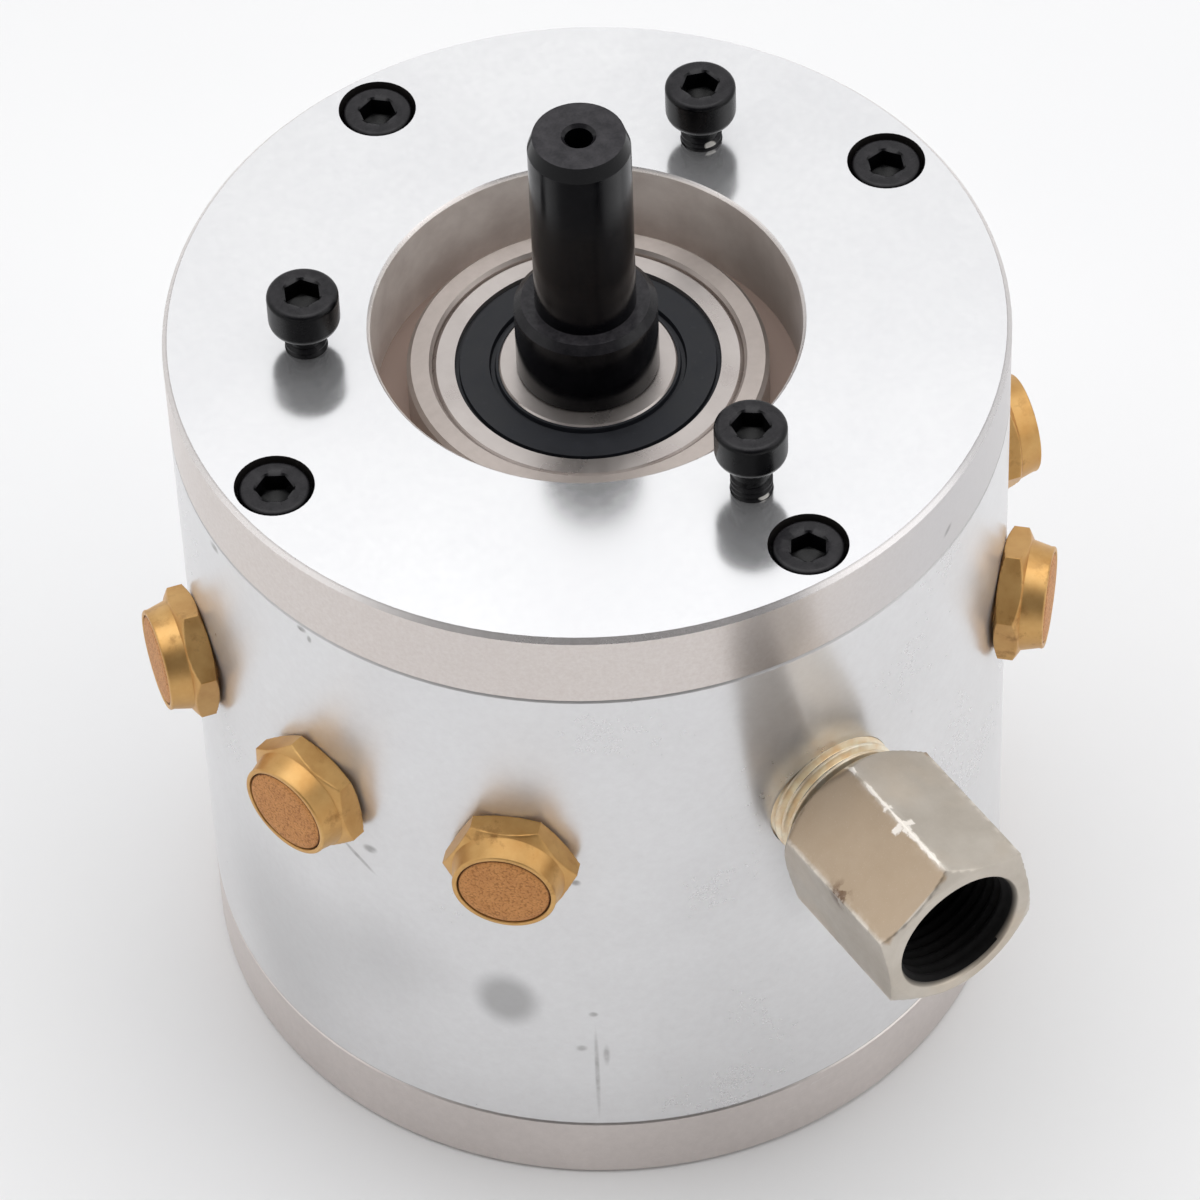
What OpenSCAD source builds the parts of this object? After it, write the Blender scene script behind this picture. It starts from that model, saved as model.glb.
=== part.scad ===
// Gear air motor: a round body between two end covers. Two meshed gear rotors turn in a chamber block
// inside the body. Compressed air enters by the threaded inlet and leaves by a row of silencers on each
// side of it.
// The origin is the centre of the rear face. +Z runs along the output shaft and the inlet faces -Y.

/* [Gear rotors] */
// Module of both gears
gear_module = 1.75; // [1.5:0.05:2.25]
// Teeth of the gear on the output shaft
drive_teeth = 13; // [12:1:18]
// Teeth of the idler gear
idler_teeth = 13; // [12:1:18]
// Pressure angle of the teeth
pressure_angle = 25; // [23:0.5:27]
// Play between the tooth flanks, along the pitch circle
backlash = 0.12; // [0.06:0.02:0.3]
// Gap between the tooth tips and the chamber wall
tip_gap = 0.125; // [0.05:0.005:0.2]
// Gap between each gear face and its end plate
face_gap = 0.06; // [0.03:0.01:0.15]

/* [Chamber block] */
// Wall left between the idler's chamber and the outside of the block
block_wall = 4; // [3:0.5:8]
// Height of the air pockets beside the mesh
pocket_h = 16; // [10:1:24]
// How far the air pockets reach past the chamber wall
pocket_depth = 5; // [2:0.5:7]
// Half the width of the pocket that lies beside the idler
pocket_half_w = 8; // [6:0.5:10]
// Diameter of the air passages
passage_d = 10.4; // [6:0.2:13]

/* [Motor body] */
// Wall of the body
body_wall = 10; // [9:0.5:14]
// Length of the body between the covers
body_len = 80; // [72:1:120]
// Chamfer on the free outer edges
edge_chamfer = 0.6; // [0.2:0.1:1.5]
// Chamfer on the edges that meet at the seams
seam_chamfer = 0.25; // [0.1:0.05:0.5]
// Height of the exhaust gallery inside the body
gallery_h = 10; // [8:0.5:14]
// Depth of the exhaust gallery
gallery_depth = 2.4; // [1:0.1:3]
// Solid arc that the gallery leaves on each side of the inlet
gallery_stop = 33; // [24:1:36]

/* [Covers] */
// Thickness of the front cover
front_cover_t = 10.6; // [9:0.1:16]
// Spigot of the front cover inside the body
front_spigot_h = 2.15; // [1:0.05:4]
// Thickness of the rear cover
rear_cover_t = 10; // [8:0.5:16]
// Spigot of the rear cover inside the body
rear_spigot_h = 2; // [1:0.1:4]

/* [Bearing housing] */
// Wall of the boss round the front bearing
boss_wall = 3; // [2.5:0.25:6]
// Width of the trench between the boss and the front cover
trench_w = 4; // [2:0.25:6]
// Depth of the top of the boss below the front face
boss_drop = 6.5; // [4:0.25:9]
// Depth of the front bearing below the top of the boss
bearing_inset = 0.45; // [0.2:0.05:1]
// Width of the lead-in chamfer at the bearing seat
seat_lead_w = 0.35; // [0.2:0.05:1]
// Floor under the shaft seal, and under the rear bearing
plate_floor_t = 4; // [3:0.25:8]

/* [Bearings] */
// Outer diameter of the front bearing
front_bearing_od = 37; // [35:1:40]
// Width of the front bearing
front_bearing_w = 12; // [11:0.5:14]
// Ball diameter of the front bearing
front_ball_d = 6.35; // [5.5:0.05:6.6]
// Balls in the front bearing
front_balls = 7; // [5:1:8]
// Outer diameter of the rear bearing
rear_bearing_od = 28; // [26:1:30]
// Width of the rear bearing
rear_bearing_w = 8; // [7:0.5:12]
// Ball diameter of the rear bearing
rear_ball_d = 4.76; // [4:0.01:5]
// Balls in the rear bearing
rear_balls = 8; // [6:1:9]
// Gap between a ball and its races
race_gap = 0.02; // [0.01:0.01:0.05]

/* [Output shaft] */
// Diameter of the shaft
shaft_d = 12; // [10:0.5:13]
// Height of the shaft end above the front face
shaft_reach = 30.5; // [20:0.5:60]
// Diameter of the collar that rests on the front bearing
collar_d = 17; // [15:0.5:18]
// Height of the collar above the front face
collar_rise = 3.65; // [1.5:0.05:6]
// Chamfer on the collar's upper edge
collar_chamfer = 0.9; // [0.3:0.1:1.2]
// Width of the lead-in taper on the shaft end
shaft_lead_w = 0.6; // [0.3:0.1:1]
// Length of the lead-in taper on the shaft end
shaft_lead_len = 1.9; // [0.5:0.1:3]
// Hole in the end of the shaft
end_hole_d = 3.3; // [2.5:0.1:5]
// Diameter of that hole's mouth
end_mouth_d = 4.1; // [4:0.1:6]
// Depth of the hole in the end of the shaft
end_hole_depth = 12; // [5:1:18]
// Width of the key
key_w = 4; // [3:0.5:5]
// Height of the key
key_h = 4; // [3:0.5:4]
// Depth of the key's seat in the shaft
key_seat = 2.5; // [1.5:0.1:2.8]
// Length of the key
key_len = 24; // [12:1:36]

/* [Retaining rings and seals] */
// Thickness of the retaining rings
ring_t = 1; // [0.8:0.1:1.5]
// How far the retaining rings stand above their shaft
ring_stand = 2.3; // [1.5:0.1:2.6]
// Depth of the retaining ring grooves
ring_seat = 0.4; // [0.2:0.05:0.6]
// Outer diameter of the shaft seal
lip_seal_od = 24; // [22:1:28]
// Width of the shaft seal
lip_seal_w = 6; // [5:0.5:8]
// Free space between the shaft seal and the retaining ring
seal_space = 0.65; // [0.3:0.05:2]
// Section of the ring seals round the end plates
o_ring_d = 2; // [1.5:0.1:3]

/* [Idler] */
// Diameter of the idler shaft
idler_shaft_d = 10; // [8:0.5:11]
// Wall of the idler bushes
bush_wall = 2; // [1.5:0.25:2.5]
// Length of the idler bushes
bush_len = 8; // [6:0.5:9]

/* [Dowel pins] */
// Diameter of the dowel pins
dowel_d = 5; // [4:0.5:6]
// Distance of the dowel pins from the shaft axis
dowel_radius = 32; // [28:0.5:34]

/* [Screws] */
// Thread diameter of all the screws
screw_d = 5; // [4:0.5:6]
// Diameter of the screw heads
screw_head_d = 8.5; // [7:0.1:9]
// Height of the screw heads
screw_head_h = 5; // [4:0.1:6]
// Width of the turned edge under the screw heads
screw_foot_w = 0.6; // [0.2:0.1:0.7]
// Height of the turned edge under the screw heads
screw_foot_h = 1; // [0.3:0.1:1.2]
// Width across the flats of the screw sockets
screw_socket_af = 4; // [3:0.1:5]
// Depth of the screw sockets
screw_socket_depth = 2.6; // [1.5:0.1:3]
// Length of the cover screws
cover_screw_len = 20; // [16:1:24]
// Number of screws in each cover
cover_screw_count = 4; // [3:1:6]
// Distance of the cover screws from the outside of the body
cover_screw_inset = 6; // [5:0.25:7]
// Angle from the inlet to the nearest front cover screw
cover_clock = 1.3; // [0:0.1:5]
// Diameter of the counterbores
counterbore_d = 9.4; // [9:0.1:10.5]
// Depth of the cover screw heads below the face
head_sink = 0.3; // [0:0.1:1]
// Length of the mounting screws
mount_screw_len = 16; // [14:1:17]
// Number of mounting screws
mount_screw_count = 3; // [3:1:3]
// Distance of the mounting screws from the recess edge
mount_screw_inset = 7.5; // [6:0.25:8.5]
// Free shank under the head of the first mounting screw
mount_lift_a = 5.6; // [4:0.1:7]
// Free shank under the head of the second mounting screw
mount_lift_b = 4; // [3.5:0.1:7]
// Free shank under the head of the third mounting screw
mount_lift_c = 3.75; // [3.5:0.05:7]

/* [Inlet fitting] */
// Distance of the inlet axis below the front face
inlet_drop = 37.85; // [36:0.05:44]
// Width across the flats of the inlet hexagon
inlet_af = 20; // [19:0.5:24]
// Length of the inlet hexagon
inlet_hex_len = 21.3; // [16:0.1:30]
// Bare thread between the body and the inlet hexagon
inlet_neck = 4.3; // [2:0.1:8]
// Diameter of the inlet's male thread
inlet_thread_d = 16.66; // [14:0.02:17]
// Pitch of the inlet's male thread
inlet_pitch = 1.337; // [1:0.001:2]
// Bore of the inlet's female thread
inlet_bore_d = 14.95; // [12:0.05:15.5]
// Depth of the inlet's female thread
inlet_bore_depth = 12; // [9:0.5:14]
// Diameter of the chamfer at the inlet mouth
inlet_mouth_d = 16.7; // [15.5:0.1:17.5]
// Turn of the inlet hexagon about its own axis
inlet_turn = 37.4; // [0:0.1:60]

/* [Silencers] */
// Silencers on each side of the inlet
silencers_per_side = 3; // [1:1:4]
// Angle between neighbouring silencers
silencer_pitch = 30; // [27:1:30]
// Angle from the inlet to the first silencer
silencer_start = 45; // [42:1:48]
// Distance of the silencer axes below the front face
silencer_drop = 38.85; // [36:0.05:44]
// Width across the flats of the silencer hexagons
silencer_af = 14; // [13:0.5:17]
// Thickness of the silencer hexagons
silencer_hex_t = 3.1; // [2:0.1:5]
// Height of the silencer collars beyond the hexagon
silencer_collar_h = 2.85; // [1.5:0.05:5]
// Diameter of the silencer face
silencer_face_d = 12; // [10:0.1:12.5]
// Width of the rolled lip round the sintered disc
silencer_lip = 0.4; // [0.3:0.05:0.8]
// Thickness of the sintered disc
silencer_disc_t = 1.4; // [1:0.1:2]
// Diameter of the silencer thread
silencer_thread_d = 9.73; // [8:0.01:10]
// Bore of the silencer thread
silencer_bore_d = 6; // [4:0.1:6.5]
// Mean turn of the first silencer hexagons about their own axes
silencer_turn = 21.7; // [0:0.1:60]
// How far the turn of each side's first hexagon lies from that mean
silencer_turn_split = 18.3; // [0:0.1:30]
// Extra turn from each silencer to the next
silencer_turn_step = 22.6; // [0:0.1:60]

/* [Fits] */
// Gap of pressed pieces
press_gap = 0.01; // [0.005:0.005:0.02]
// Gap of pieces that locate in the body
locating_gap = 0.03; // [0.01:0.01:0.1]
// Gap between a turning shaft and its bush or seal
running_gap = 0.04; // [0.02:0.01:0.08]
// Gap of threads and free holes
thread_gap = 0.05; // [0.02:0.01:0.15]
// Gap round parts that turn freely through a wall
free_gap = 0.3; // [0.2:0.05:0.6]

/* [Hidden] */
$fn = 96;
eps = 0.01;

// How far a cut runs past the surface that it opens, or a joined shape into its neighbour
past = 1;

// Radial stack, from the gears outwards
drive_pitch_r = gear_module * drive_teeth / 2;
idler_pitch_r = gear_module * idler_teeth / 2;
centre_dist = drive_pitch_r + idler_pitch_r;
drive_chamber_r = drive_pitch_r + gear_module + tip_gap;
idler_chamber_r = idler_pitch_r + gear_module + tip_gap;
bore_r = centre_dist + idler_chamber_r + block_wall;
body_r = bore_r + body_wall;
inner_r = bore_r - locating_gap;
boss_r = front_bearing_od / 2 + boss_wall;
recess_r = boss_r + trench_w;
cover_screw_r = body_r - cover_screw_inset;
mount_screw_r = recess_r + mount_screw_inset;

// Axial stack, from the rear face upwards
rear_seam_z = rear_cover_t;
rear_spigot_z = rear_seam_z + rear_spigot_h;
chamber_bot_z = rear_spigot_z + rear_bearing_w + plate_floor_t;
front_seam_z = rear_seam_z + body_len;
face_z = front_seam_z + front_cover_t;
flange_z = front_seam_z - front_spigot_h;
boss_z = face_z - boss_drop;
bearing_top_z = boss_z - bearing_inset;
bearing_bot_z = bearing_top_z - front_bearing_w;
ring_z = bearing_bot_z - ring_t;
lip_seal_z = ring_z - seal_space - lip_seal_w;
chamber_top_z = lip_seal_z - plate_floor_t;
gear_bot_z = chamber_bot_z + face_gap;
gear_top_z = chamber_top_z - face_gap;
gear_w = gear_top_z - gear_bot_z;
chamber_h = chamber_top_z - chamber_bot_z;
chamber_mid_z = chamber_bot_z + chamber_h / 2;
shaft_top_z = face_z + shaft_reach;
shaft_bot_z = rear_spigot_z - 2 * ring_t;
inlet_z = face_z - inlet_drop;
silencer_z = face_z - silencer_drop;

// Angles about the shaft
inlet_angle = -90;
exhaust_angle = 90;
cover_clocks = [for (i = [0:cover_screw_count - 1]) inlet_angle + cover_clock + i * 360 / cover_screw_count];
mount_clocks = [for (i = [0:mount_screw_count - 1]) inlet_angle + cover_clock + i * 360 / mount_screw_count];
mount_lifts = [mount_lift_a, mount_lift_b, mount_lift_c];
mount_screw_step = 17;
silencer_places = [for (side = [-1, 1], i = [0:silencers_per_side - 1])
    [inlet_angle + side * (silencer_start + i * silencer_pitch),
        silencer_turn + side * (silencer_turn_split + i * silencer_turn_step)]];
dowel_clocks = [120, 210];

// Heights of the dowel pins' ends
dowel_bot_z = rear_spigot_z + 2;
dowel_top_z = flange_z - 1.85;

// Bearing races
function pitch_r(od) = (shaft_d + od) / 4;
outer_shoulder = 0.42;
inner_shoulder = 0.26;
seal_seat = 0.9;
seal_depth = 1.5;
seal_drop = 0.15;
seal_groove = 0.6;
seal_rim_w = 0.6;
seal_lip_w = 0.3;
ring_chamfer = 0.5;
cage_half_t = 0.7;
cage_lip = 0.4;
pocket_gap = 0.1;

// Depth of the screw seats below their face, and lengths of thread in their holes
screw_seat = screw_head_h + head_sink;
hole_extra = 1.5;
inlet_thread_len = body_wall - 1;
silencer_thread_len = body_wall - gallery_depth;

/* Shapes shared by several pieces */

// Solid of revolution about Z from a profile of [radius, height] points
module turned(profile) {
    rotate_extrude() polygon(profile);
}

// Places children on a circle, each turned to its own angle
module around(radius, angles) {
    for (a = angles) rotate([0, 0, a]) translate([radius, 0, 0]) children();
}

// Lays children, drawn along +Z, along the radius at an angle and a height
module radial(angle, radius, height) {
    rotate([0, 0, angle]) translate([radius, 0, height]) rotate([0, 90, 0]) children();
}

// Involute of a circle, as the angle between the base radius and the curve at a pressure angle
function involute(a) = tan(a) * 180 / PI - a;

// Half the angle that a tooth fills at radius r
function half_tooth(r, teeth, pitch) =
    let (base = pitch * cos(pressure_angle), a = acos(min(1, base / max(r, base))))
    90 / teeth - backlash / 4 / pitch * 180 / PI + involute(pressure_angle) - involute(a);

// One gear outline: root arc, rising flank, tip and falling flank for each tooth
function gear_points(teeth, steps = 7) =
    let (pitch = gear_module * teeth / 2, base = pitch * cos(pressure_angle), tip = pitch + gear_module,
        root = pitch - 1.25 * gear_module, low = max(base, root + 0.3))
    [for (k = [0:teeth - 1])
        let (mid = k * 360 / teeth, foot = half_tooth(low, teeth, pitch), gap = 360 / teeth - 2 * foot)
        each concat(
            [for (s = [-0.34, -0.12]) let (a = mid - foot + s * gap) [root * cos(a), root * sin(a)]],
            [for (i = [0:steps])
                let (r = low + (tip - low) * i / steps, a = mid - half_tooth(r, teeth, pitch))
                [r * cos(a), r * sin(a)]],
            [for (i = [steps:-1:0])
                let (r = low + (tip - low) * i / steps, a = mid + half_tooth(r, teeth, pitch))
                [r * cos(a), r * sin(a)]],
            [for (s = [0.12, 0.34]) let (a = mid + foot + s * gap) [root * cos(a), root * sin(a)]])];

// Hexagon prism with both ends turned to a chamfer
module turned_hex(af, h, low, high) {
    corner = af / sqrt(3);
    flat = af / 2 * 0.985;
    intersection() {
        cylinder(r = corner, h = h, $fn = 6);
        turned([[0, 0], [flat, 0], [corner + eps, low], [corner + eps, h - high], [flat, h], [0, h]]);
    }
}

// Socket head screw: seat of the head at z = 0, shank downwards
module socket_screw(len) {
    head = screw_head_d / 2;
    difference() {
        turned([[0, -len], [screw_d / 2 - 0.5, -len], [screw_d / 2, -len + 0.5], [screw_d / 2, 0],
            [head - screw_foot_w, 0], [head, screw_foot_h], [head, screw_head_h - 0.4],
            [head - 0.4, screw_head_h], [0, screw_head_h]]);
        translate([0, 0, screw_head_h - screw_socket_depth])
            cylinder(d = screw_socket_af * 2 / sqrt(3), h = screw_socket_depth + past, $fn = 6);
    }
}

// Retaining ring: open ring with rounded eyes at its ends
module retaining_ring(shaft, floor_z) {
    inner = shaft / 2 - ring_seat;
    outer = shaft / 2 + ring_stand;
    translate([0, 0, floor_z]) difference() {
        cylinder(r = outer, h = ring_t);
        translate([0, 0, -past]) cylinder(r = inner, h = ring_t + 2 * past);
        translate([0, -ring_stand, -past]) cube([outer + past, 2 * ring_stand, ring_t + 2 * past]);
        for (s = [-1, 1]) rotate([0, 0, s * 38])
            translate([(inner + outer) / 2, 0, -past]) cylinder(d = ring_stand / 2, h = ring_t + 2 * past);
    }
}

// Outer bearing ring from z = 0 to w
module outer_race(od, w, ball) {
    pitch = pitch_r(od);
    land = pitch + outer_shoulder * ball;
    difference() {
        turned([[land + seal_seat, 0], [od / 2 - ring_chamfer, 0], [od / 2, ring_chamfer],
            [od / 2, w - ring_chamfer], [od / 2 - ring_chamfer, w], [land + seal_seat, w],
            [land + seal_seat, w - seal_depth], [land, w - seal_depth], [land, seal_depth],
            [land + seal_seat, seal_depth]]);
        rotate_extrude() translate([pitch, w / 2]) circle(r = ball / 2 + race_gap, $fn = 48);
    }
}

// Inner bearing ring from z = 0 to w
module inner_race(od, w, ball) {
    pitch = pitch_r(od);
    land = pitch - inner_shoulder * ball;
    bore = shaft_d / 2 + press_gap;
    difference() {
        turned([[bore + ring_chamfer, 0], [land - 0.2, 0], [land, 0.2], [land, w - 0.2], [land - 0.2, w],
            [bore + ring_chamfer, w], [bore, w - ring_chamfer], [bore, ring_chamfer]]);
        rotate_extrude() translate([pitch, w / 2]) circle(r = ball / 2 + race_gap, $fn = 48);
    }
}

module balls(od, w, ball, count) {
    around(pitch_r(od), [for (i = [0:count - 1]) i * 360 / count])
        translate([0, 0, w / 2]) sphere(d = ball, $fn = 48);
}

// One-piece cage: a band with a round pocket for each ball
module cage(od, w, ball, count) {
    pitch = pitch_r(od);
    half = ball / 2 + pocket_gap + cage_lip;
    difference() {
        turned([[pitch - cage_half_t, w / 2 - half], [pitch + cage_half_t, w / 2 - half],
            [pitch + cage_half_t, w / 2 + half], [pitch - cage_half_t, w / 2 + half]]);
        around(pitch, [for (i = [0:count - 1]) i * 360 / count])
            translate([-cage_half_t - past, 0, w / 2]) rotate([0, 90, 0])
                cylinder(r = ball / 2 + pocket_gap, h = 2 * (cage_half_t + past));
    }
}

// Rubber bearing seal with a stepped rim and a groove beside its inner lip, ring face at z = 0
module bearing_seal(od, ball) {
    pitch = pitch_r(od);
    out = pitch + outer_shoulder * ball + seal_seat - press_gap;
    in = pitch - inner_shoulder * ball + running_gap;
    low = seal_depth - 0.1;
    face = -seal_drop;
    deep = -seal_drop - seal_groove;
    turned([[in, -low], [out, -low], [out, deep], [out - seal_rim_w + 0.1, deep], [out - seal_rim_w, face],
        [in + 3.6 * seal_lip_w, face], [in + 3 * seal_lip_w, deep], [in + 1.5 * seal_lip_w, deep],
        [in + seal_lip_w, face], [in, face]]);
}

// Screw thread drawn as a row of ridges, from z = 0 down
module ridged_thread(d, pitch, len) {
    turns = floor(len / pitch);
    depth = 0.55 * pitch;
    turned(concat([[0, 0], [d / 2 - depth, 0]],
        [for (i = [0:turns - 1], p = [[0.2, 1], [0.45, 0], [0.6, 0], [0.85, 1]])
            [d / 2 - depth * p[1], -(i + p[0]) * pitch]],
        [[d / 2 - depth, -len], [0, -len]]));
}

// Plate between the chamber and a cover: a disc with a groove for its ring seal
module plate_disc(low, high) {
    groove_z = (low + high) / 2;
    half = 0.65 * o_ring_d;
    depth = 0.82 * o_ring_d;
    turned([[0, low], [inner_r - 0.3, low], [inner_r, low + 0.3], [inner_r, groove_z - half],
        [inner_r - depth, groove_z - half], [inner_r - depth, groove_z + half], [inner_r, groove_z + half],
        [inner_r, high - 0.3], [inner_r - 0.3, high], [0, high]]);
}

module ring_seal(low, high) {
    depth = 0.82 * o_ring_d;
    rotate_extrude() translate([bore_r - depth / 2 - locating_gap / 2, (low + high) / 2])
        circle(d = depth, $fn = 32);
}

// Seats of the dowel pins in a plate or the block
module dowel_holes(low, high) {
    around(dowel_radius, dowel_clocks)
        translate([0, 0, low]) cylinder(d = dowel_d + 2 * press_gap, h = high - low);
}

// Air pocket beside the mesh, on the +Y side
module air_pocket(height) {
    top = drive_chamber_r + pocket_depth;
    low = sqrt(pow(drive_chamber_r, 2) - pow(drive_pitch_r, 2)) - 1.5;
    left = -passage_d / 2 - 1;
    right = drive_pitch_r + pocket_half_w;
    corner = 2;
    outline = concat([[left, low], [right, low]],
        [for (a = [0:15:90]) [right - corner + corner * cos(a), top - corner + corner * sin(a)]],
        [for (a = [90:15:180]) [left + corner + corner * cos(a), top - corner + corner * sin(a)]]);
    translate([0, 0, height - pocket_h / 2]) linear_extrude(pocket_h) polygon(outline);
}

/* Pieces, one module for each node */

module front_cover() {
    color("gainsboro") difference() {
        turned([[recess_r, flange_z], [bore_r - locating_gap - 0.3, flange_z],
            [bore_r - locating_gap, flange_z + 0.3], [bore_r - locating_gap, front_seam_z],
            [body_r - seam_chamfer, front_seam_z], [body_r, front_seam_z + seam_chamfer],
            [body_r, face_z - edge_chamfer], [body_r - edge_chamfer, face_z], [recess_r + 0.4, face_z],
            [recess_r, face_z - 0.4]]);
        around(cover_screw_r, cover_clocks) {
            translate([0, 0, front_seam_z - past])
                cylinder(d = screw_d + 10 * thread_gap, h = front_cover_t + 2 * past);
            translate([0, 0, face_z - screw_seat]) cylinder(d = counterbore_d, h = screw_seat + past);
        }
        around(mount_screw_r, mount_clocks)
            translate([0, 0, flange_z - past])
                cylinder(d = screw_d + 2 * thread_gap, h = face_z - flange_z + 2 * past);
    }
}

module motor_body() {
    color("silver") difference() {
        turned([[bore_r, rear_seam_z], [body_r - seam_chamfer, rear_seam_z],
            [body_r, rear_seam_z + seam_chamfer], [body_r, front_seam_z - seam_chamfer],
            [body_r - seam_chamfer, front_seam_z], [bore_r, front_seam_z]]);
        rotate([0, 0, inlet_angle + gallery_stop]) rotate_extrude(angle = 360 - 2 * gallery_stop)
            translate([bore_r - past, silencer_z - gallery_h / 2]) square([gallery_depth + past, gallery_h]);
        around(cover_screw_r, cover_clocks) {
            translate([0, 0, face_z - screw_seat - cover_screw_len - hole_extra])
                cylinder(d = screw_d + 2 * thread_gap, h = cover_screw_len + hole_extra);
            translate([0, 0, rear_seam_z - past]) cylinder(d = screw_d + 2 * thread_gap,
                h = cover_screw_len + screw_seat - rear_cover_t + hole_extra + past);
        }
        radial(inlet_angle, bore_r - 2 * past, inlet_z)
            cylinder(d = inlet_thread_d + 2 * thread_gap, h = body_wall + 4 * past);
        for (p = silencer_places)
            radial(p[0], bore_r - 2 * past, silencer_z)
                cylinder(d = silencer_thread_d + 2 * thread_gap, h = body_wall + 4 * past);
    }
}

module rear_cover() {
    shaft_pocket_r = shaft_d / 2 + ring_stand + free_gap;
    color("darkgray") difference() {
        turned([[0, 0], [body_r - edge_chamfer, 0], [body_r, edge_chamfer],
            [body_r, rear_seam_z - seam_chamfer], [body_r - seam_chamfer, rear_seam_z],
            [bore_r - locating_gap, rear_seam_z],
            [bore_r - locating_gap, rear_spigot_z - 0.3], [bore_r - locating_gap - 0.3, rear_spigot_z],
            [0, rear_spigot_z]]);
        translate([0, 0, shaft_bot_z - past])
            cylinder(r = shaft_pocket_r, h = rear_spigot_z - shaft_bot_z + 2 * past);
        around(cover_screw_r, cover_clocks) {
            translate([0, 0, -past]) cylinder(d = screw_d + 10 * thread_gap, h = rear_cover_t + 2 * past);
            translate([0, 0, -past]) cylinder(d = counterbore_d, h = screw_seat + past);
        }
    }
}

module chamber_block() {
    color("lightsteelblue") difference() {
        translate([0, 0, chamber_bot_z]) cylinder(r = inner_r, h = chamber_h);
        translate([0, 0, chamber_bot_z - past]) {
            cylinder(r = drive_chamber_r, h = chamber_h + 2 * past);
            translate([centre_dist, 0, 0]) cylinder(r = idler_chamber_r, h = chamber_h + 2 * past);
        }
        mirror([0, 1, 0]) air_pocket(inlet_z);
        air_pocket(silencer_z);
        radial(inlet_angle, drive_pitch_r, inlet_z) cylinder(d = passage_d, h = bore_r);
        radial(exhaust_angle, drive_pitch_r, silencer_z) cylinder(d = passage_d - 1, h = bore_r);
        dowel_holes(chamber_bot_z - past, chamber_top_z + past);
    }
}

module front_end_plate() {
    seat_r = front_bearing_od / 2 + press_gap;
    color("lightgray") difference() {
        union() {
            plate_disc(chamber_top_z, flange_z);
            turned([[0, flange_z - past], [boss_r, flange_z - past], [boss_r, boss_z - 0.5],
                [boss_r - 0.5, boss_z], [0, boss_z]]);
        }
        turned([[0, bearing_bot_z], [seat_r, bearing_bot_z], [seat_r, bearing_top_z],
            [seat_r + seat_lead_w, boss_z], [seat_r + seat_lead_w, boss_z + past], [0, boss_z + past]]);
        translate([0, 0, lip_seal_z])
            cylinder(d = lip_seal_od + 2 * press_gap, h = bearing_bot_z - lip_seal_z + past);
        translate([0, 0, chamber_top_z - past])
            cylinder(d = shaft_d + 2 * free_gap, h = plate_floor_t + 2 * past);
        translate([centre_dist, 0, chamber_top_z - past])
            cylinder(d = idler_shaft_d + 2 * bush_wall + 2 * press_gap, h = bush_len + past);
        dowel_holes(chamber_top_z - past, dowel_top_z);
    }
}

module rear_end_plate() {
    seat_r = rear_bearing_od / 2 + press_gap;
    color("lightgray") difference() {
        plate_disc(rear_spigot_z, chamber_bot_z);
        translate([0, 0, rear_spigot_z - past]) cylinder(r = seat_r, h = rear_bearing_w + past);
        translate([0, 0, rear_spigot_z])
            cylinder(d = shaft_d + 2 * free_gap, h = chamber_bot_z - rear_spigot_z + past);
        translate([centre_dist, 0, chamber_bot_z - bush_len])
            cylinder(d = idler_shaft_d + 2 * bush_wall + 2 * press_gap, h = bush_len + past);
        dowel_holes(dowel_bot_z, chamber_bot_z + past);
    }
}

module output_shaft() {
    r = shaft_d / 2;
    collar = collar_d / 2;
    top = face_z + collar_rise;
    color("dimgray") difference() {
        turned([[0, shaft_bot_z], [r - 0.5, shaft_bot_z], [r, shaft_bot_z + 0.5], [r, rear_spigot_z - ring_t],
            [r - ring_seat, rear_spigot_z - ring_t], [r - ring_seat, rear_spigot_z], [r, rear_spigot_z],
            [r, ring_z], [r - ring_seat, ring_z], [r - ring_seat, bearing_bot_z], [r, bearing_bot_z],
            [r, bearing_top_z], [collar - 0.3, bearing_top_z], [collar, bearing_top_z + 0.3],
            [collar, top - collar_chamfer], [collar - collar_chamfer, top], [r, top],
            [r, shaft_top_z - shaft_lead_len], [r - shaft_lead_w, shaft_top_z], [0, shaft_top_z]]);
        translate([0, 0, shaft_top_z - end_hole_depth]) cylinder(d = end_hole_d, h = end_hole_depth + past);
        turned([[0, shaft_top_z - end_mouth_d / 2], [end_mouth_d / 2, shaft_top_z],
            [end_mouth_d / 2, shaft_top_z + past], [0, shaft_top_z + past]]);
        key_shape(r - key_seat, r + past);
    }
}

// The key's outline, standing from one radius to another on the drive gear's seat
module key_shape(low, high) {
    translate([low, 0, chamber_mid_z]) {
        translate([0, -key_w / 2, -(key_len - key_w) / 2]) cube([high - low, key_w, key_len - key_w]);
        for (s = [-1, 1]) translate([0, 0, s * (key_len - key_w) / 2])
            rotate([0, 90, 0]) cylinder(d = key_w, h = high - low);
    }
}

module drive_key() {
    color("slategray") key_shape(shaft_d / 2 - key_seat, shaft_d / 2 - key_seat + key_h);
}

module drive_gear() {
    color("steelblue") difference() {
        translate([0, 0, gear_bot_z]) linear_extrude(gear_w) polygon(gear_points(drive_teeth));
        translate([0, 0, gear_bot_z - past]) cylinder(d = shaft_d + 2 * press_gap, h = gear_w + 2 * past);
        translate([0, -key_w / 2, gear_bot_z - past])
            cube([shaft_d / 2 - key_seat + key_h + free_gap, key_w, gear_w + 2 * past]);
    }
}

module idler_gear() {
    color("cadetblue") translate([centre_dist, 0, gear_bot_z]) difference() {
        rotate([0, 0, 180 + 180 / idler_teeth]) linear_extrude(gear_w) polygon(gear_points(idler_teeth));
        translate([0, 0, -past]) cylinder(d = idler_shaft_d + 2 * press_gap, h = gear_w + 2 * past);
    }
}

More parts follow.
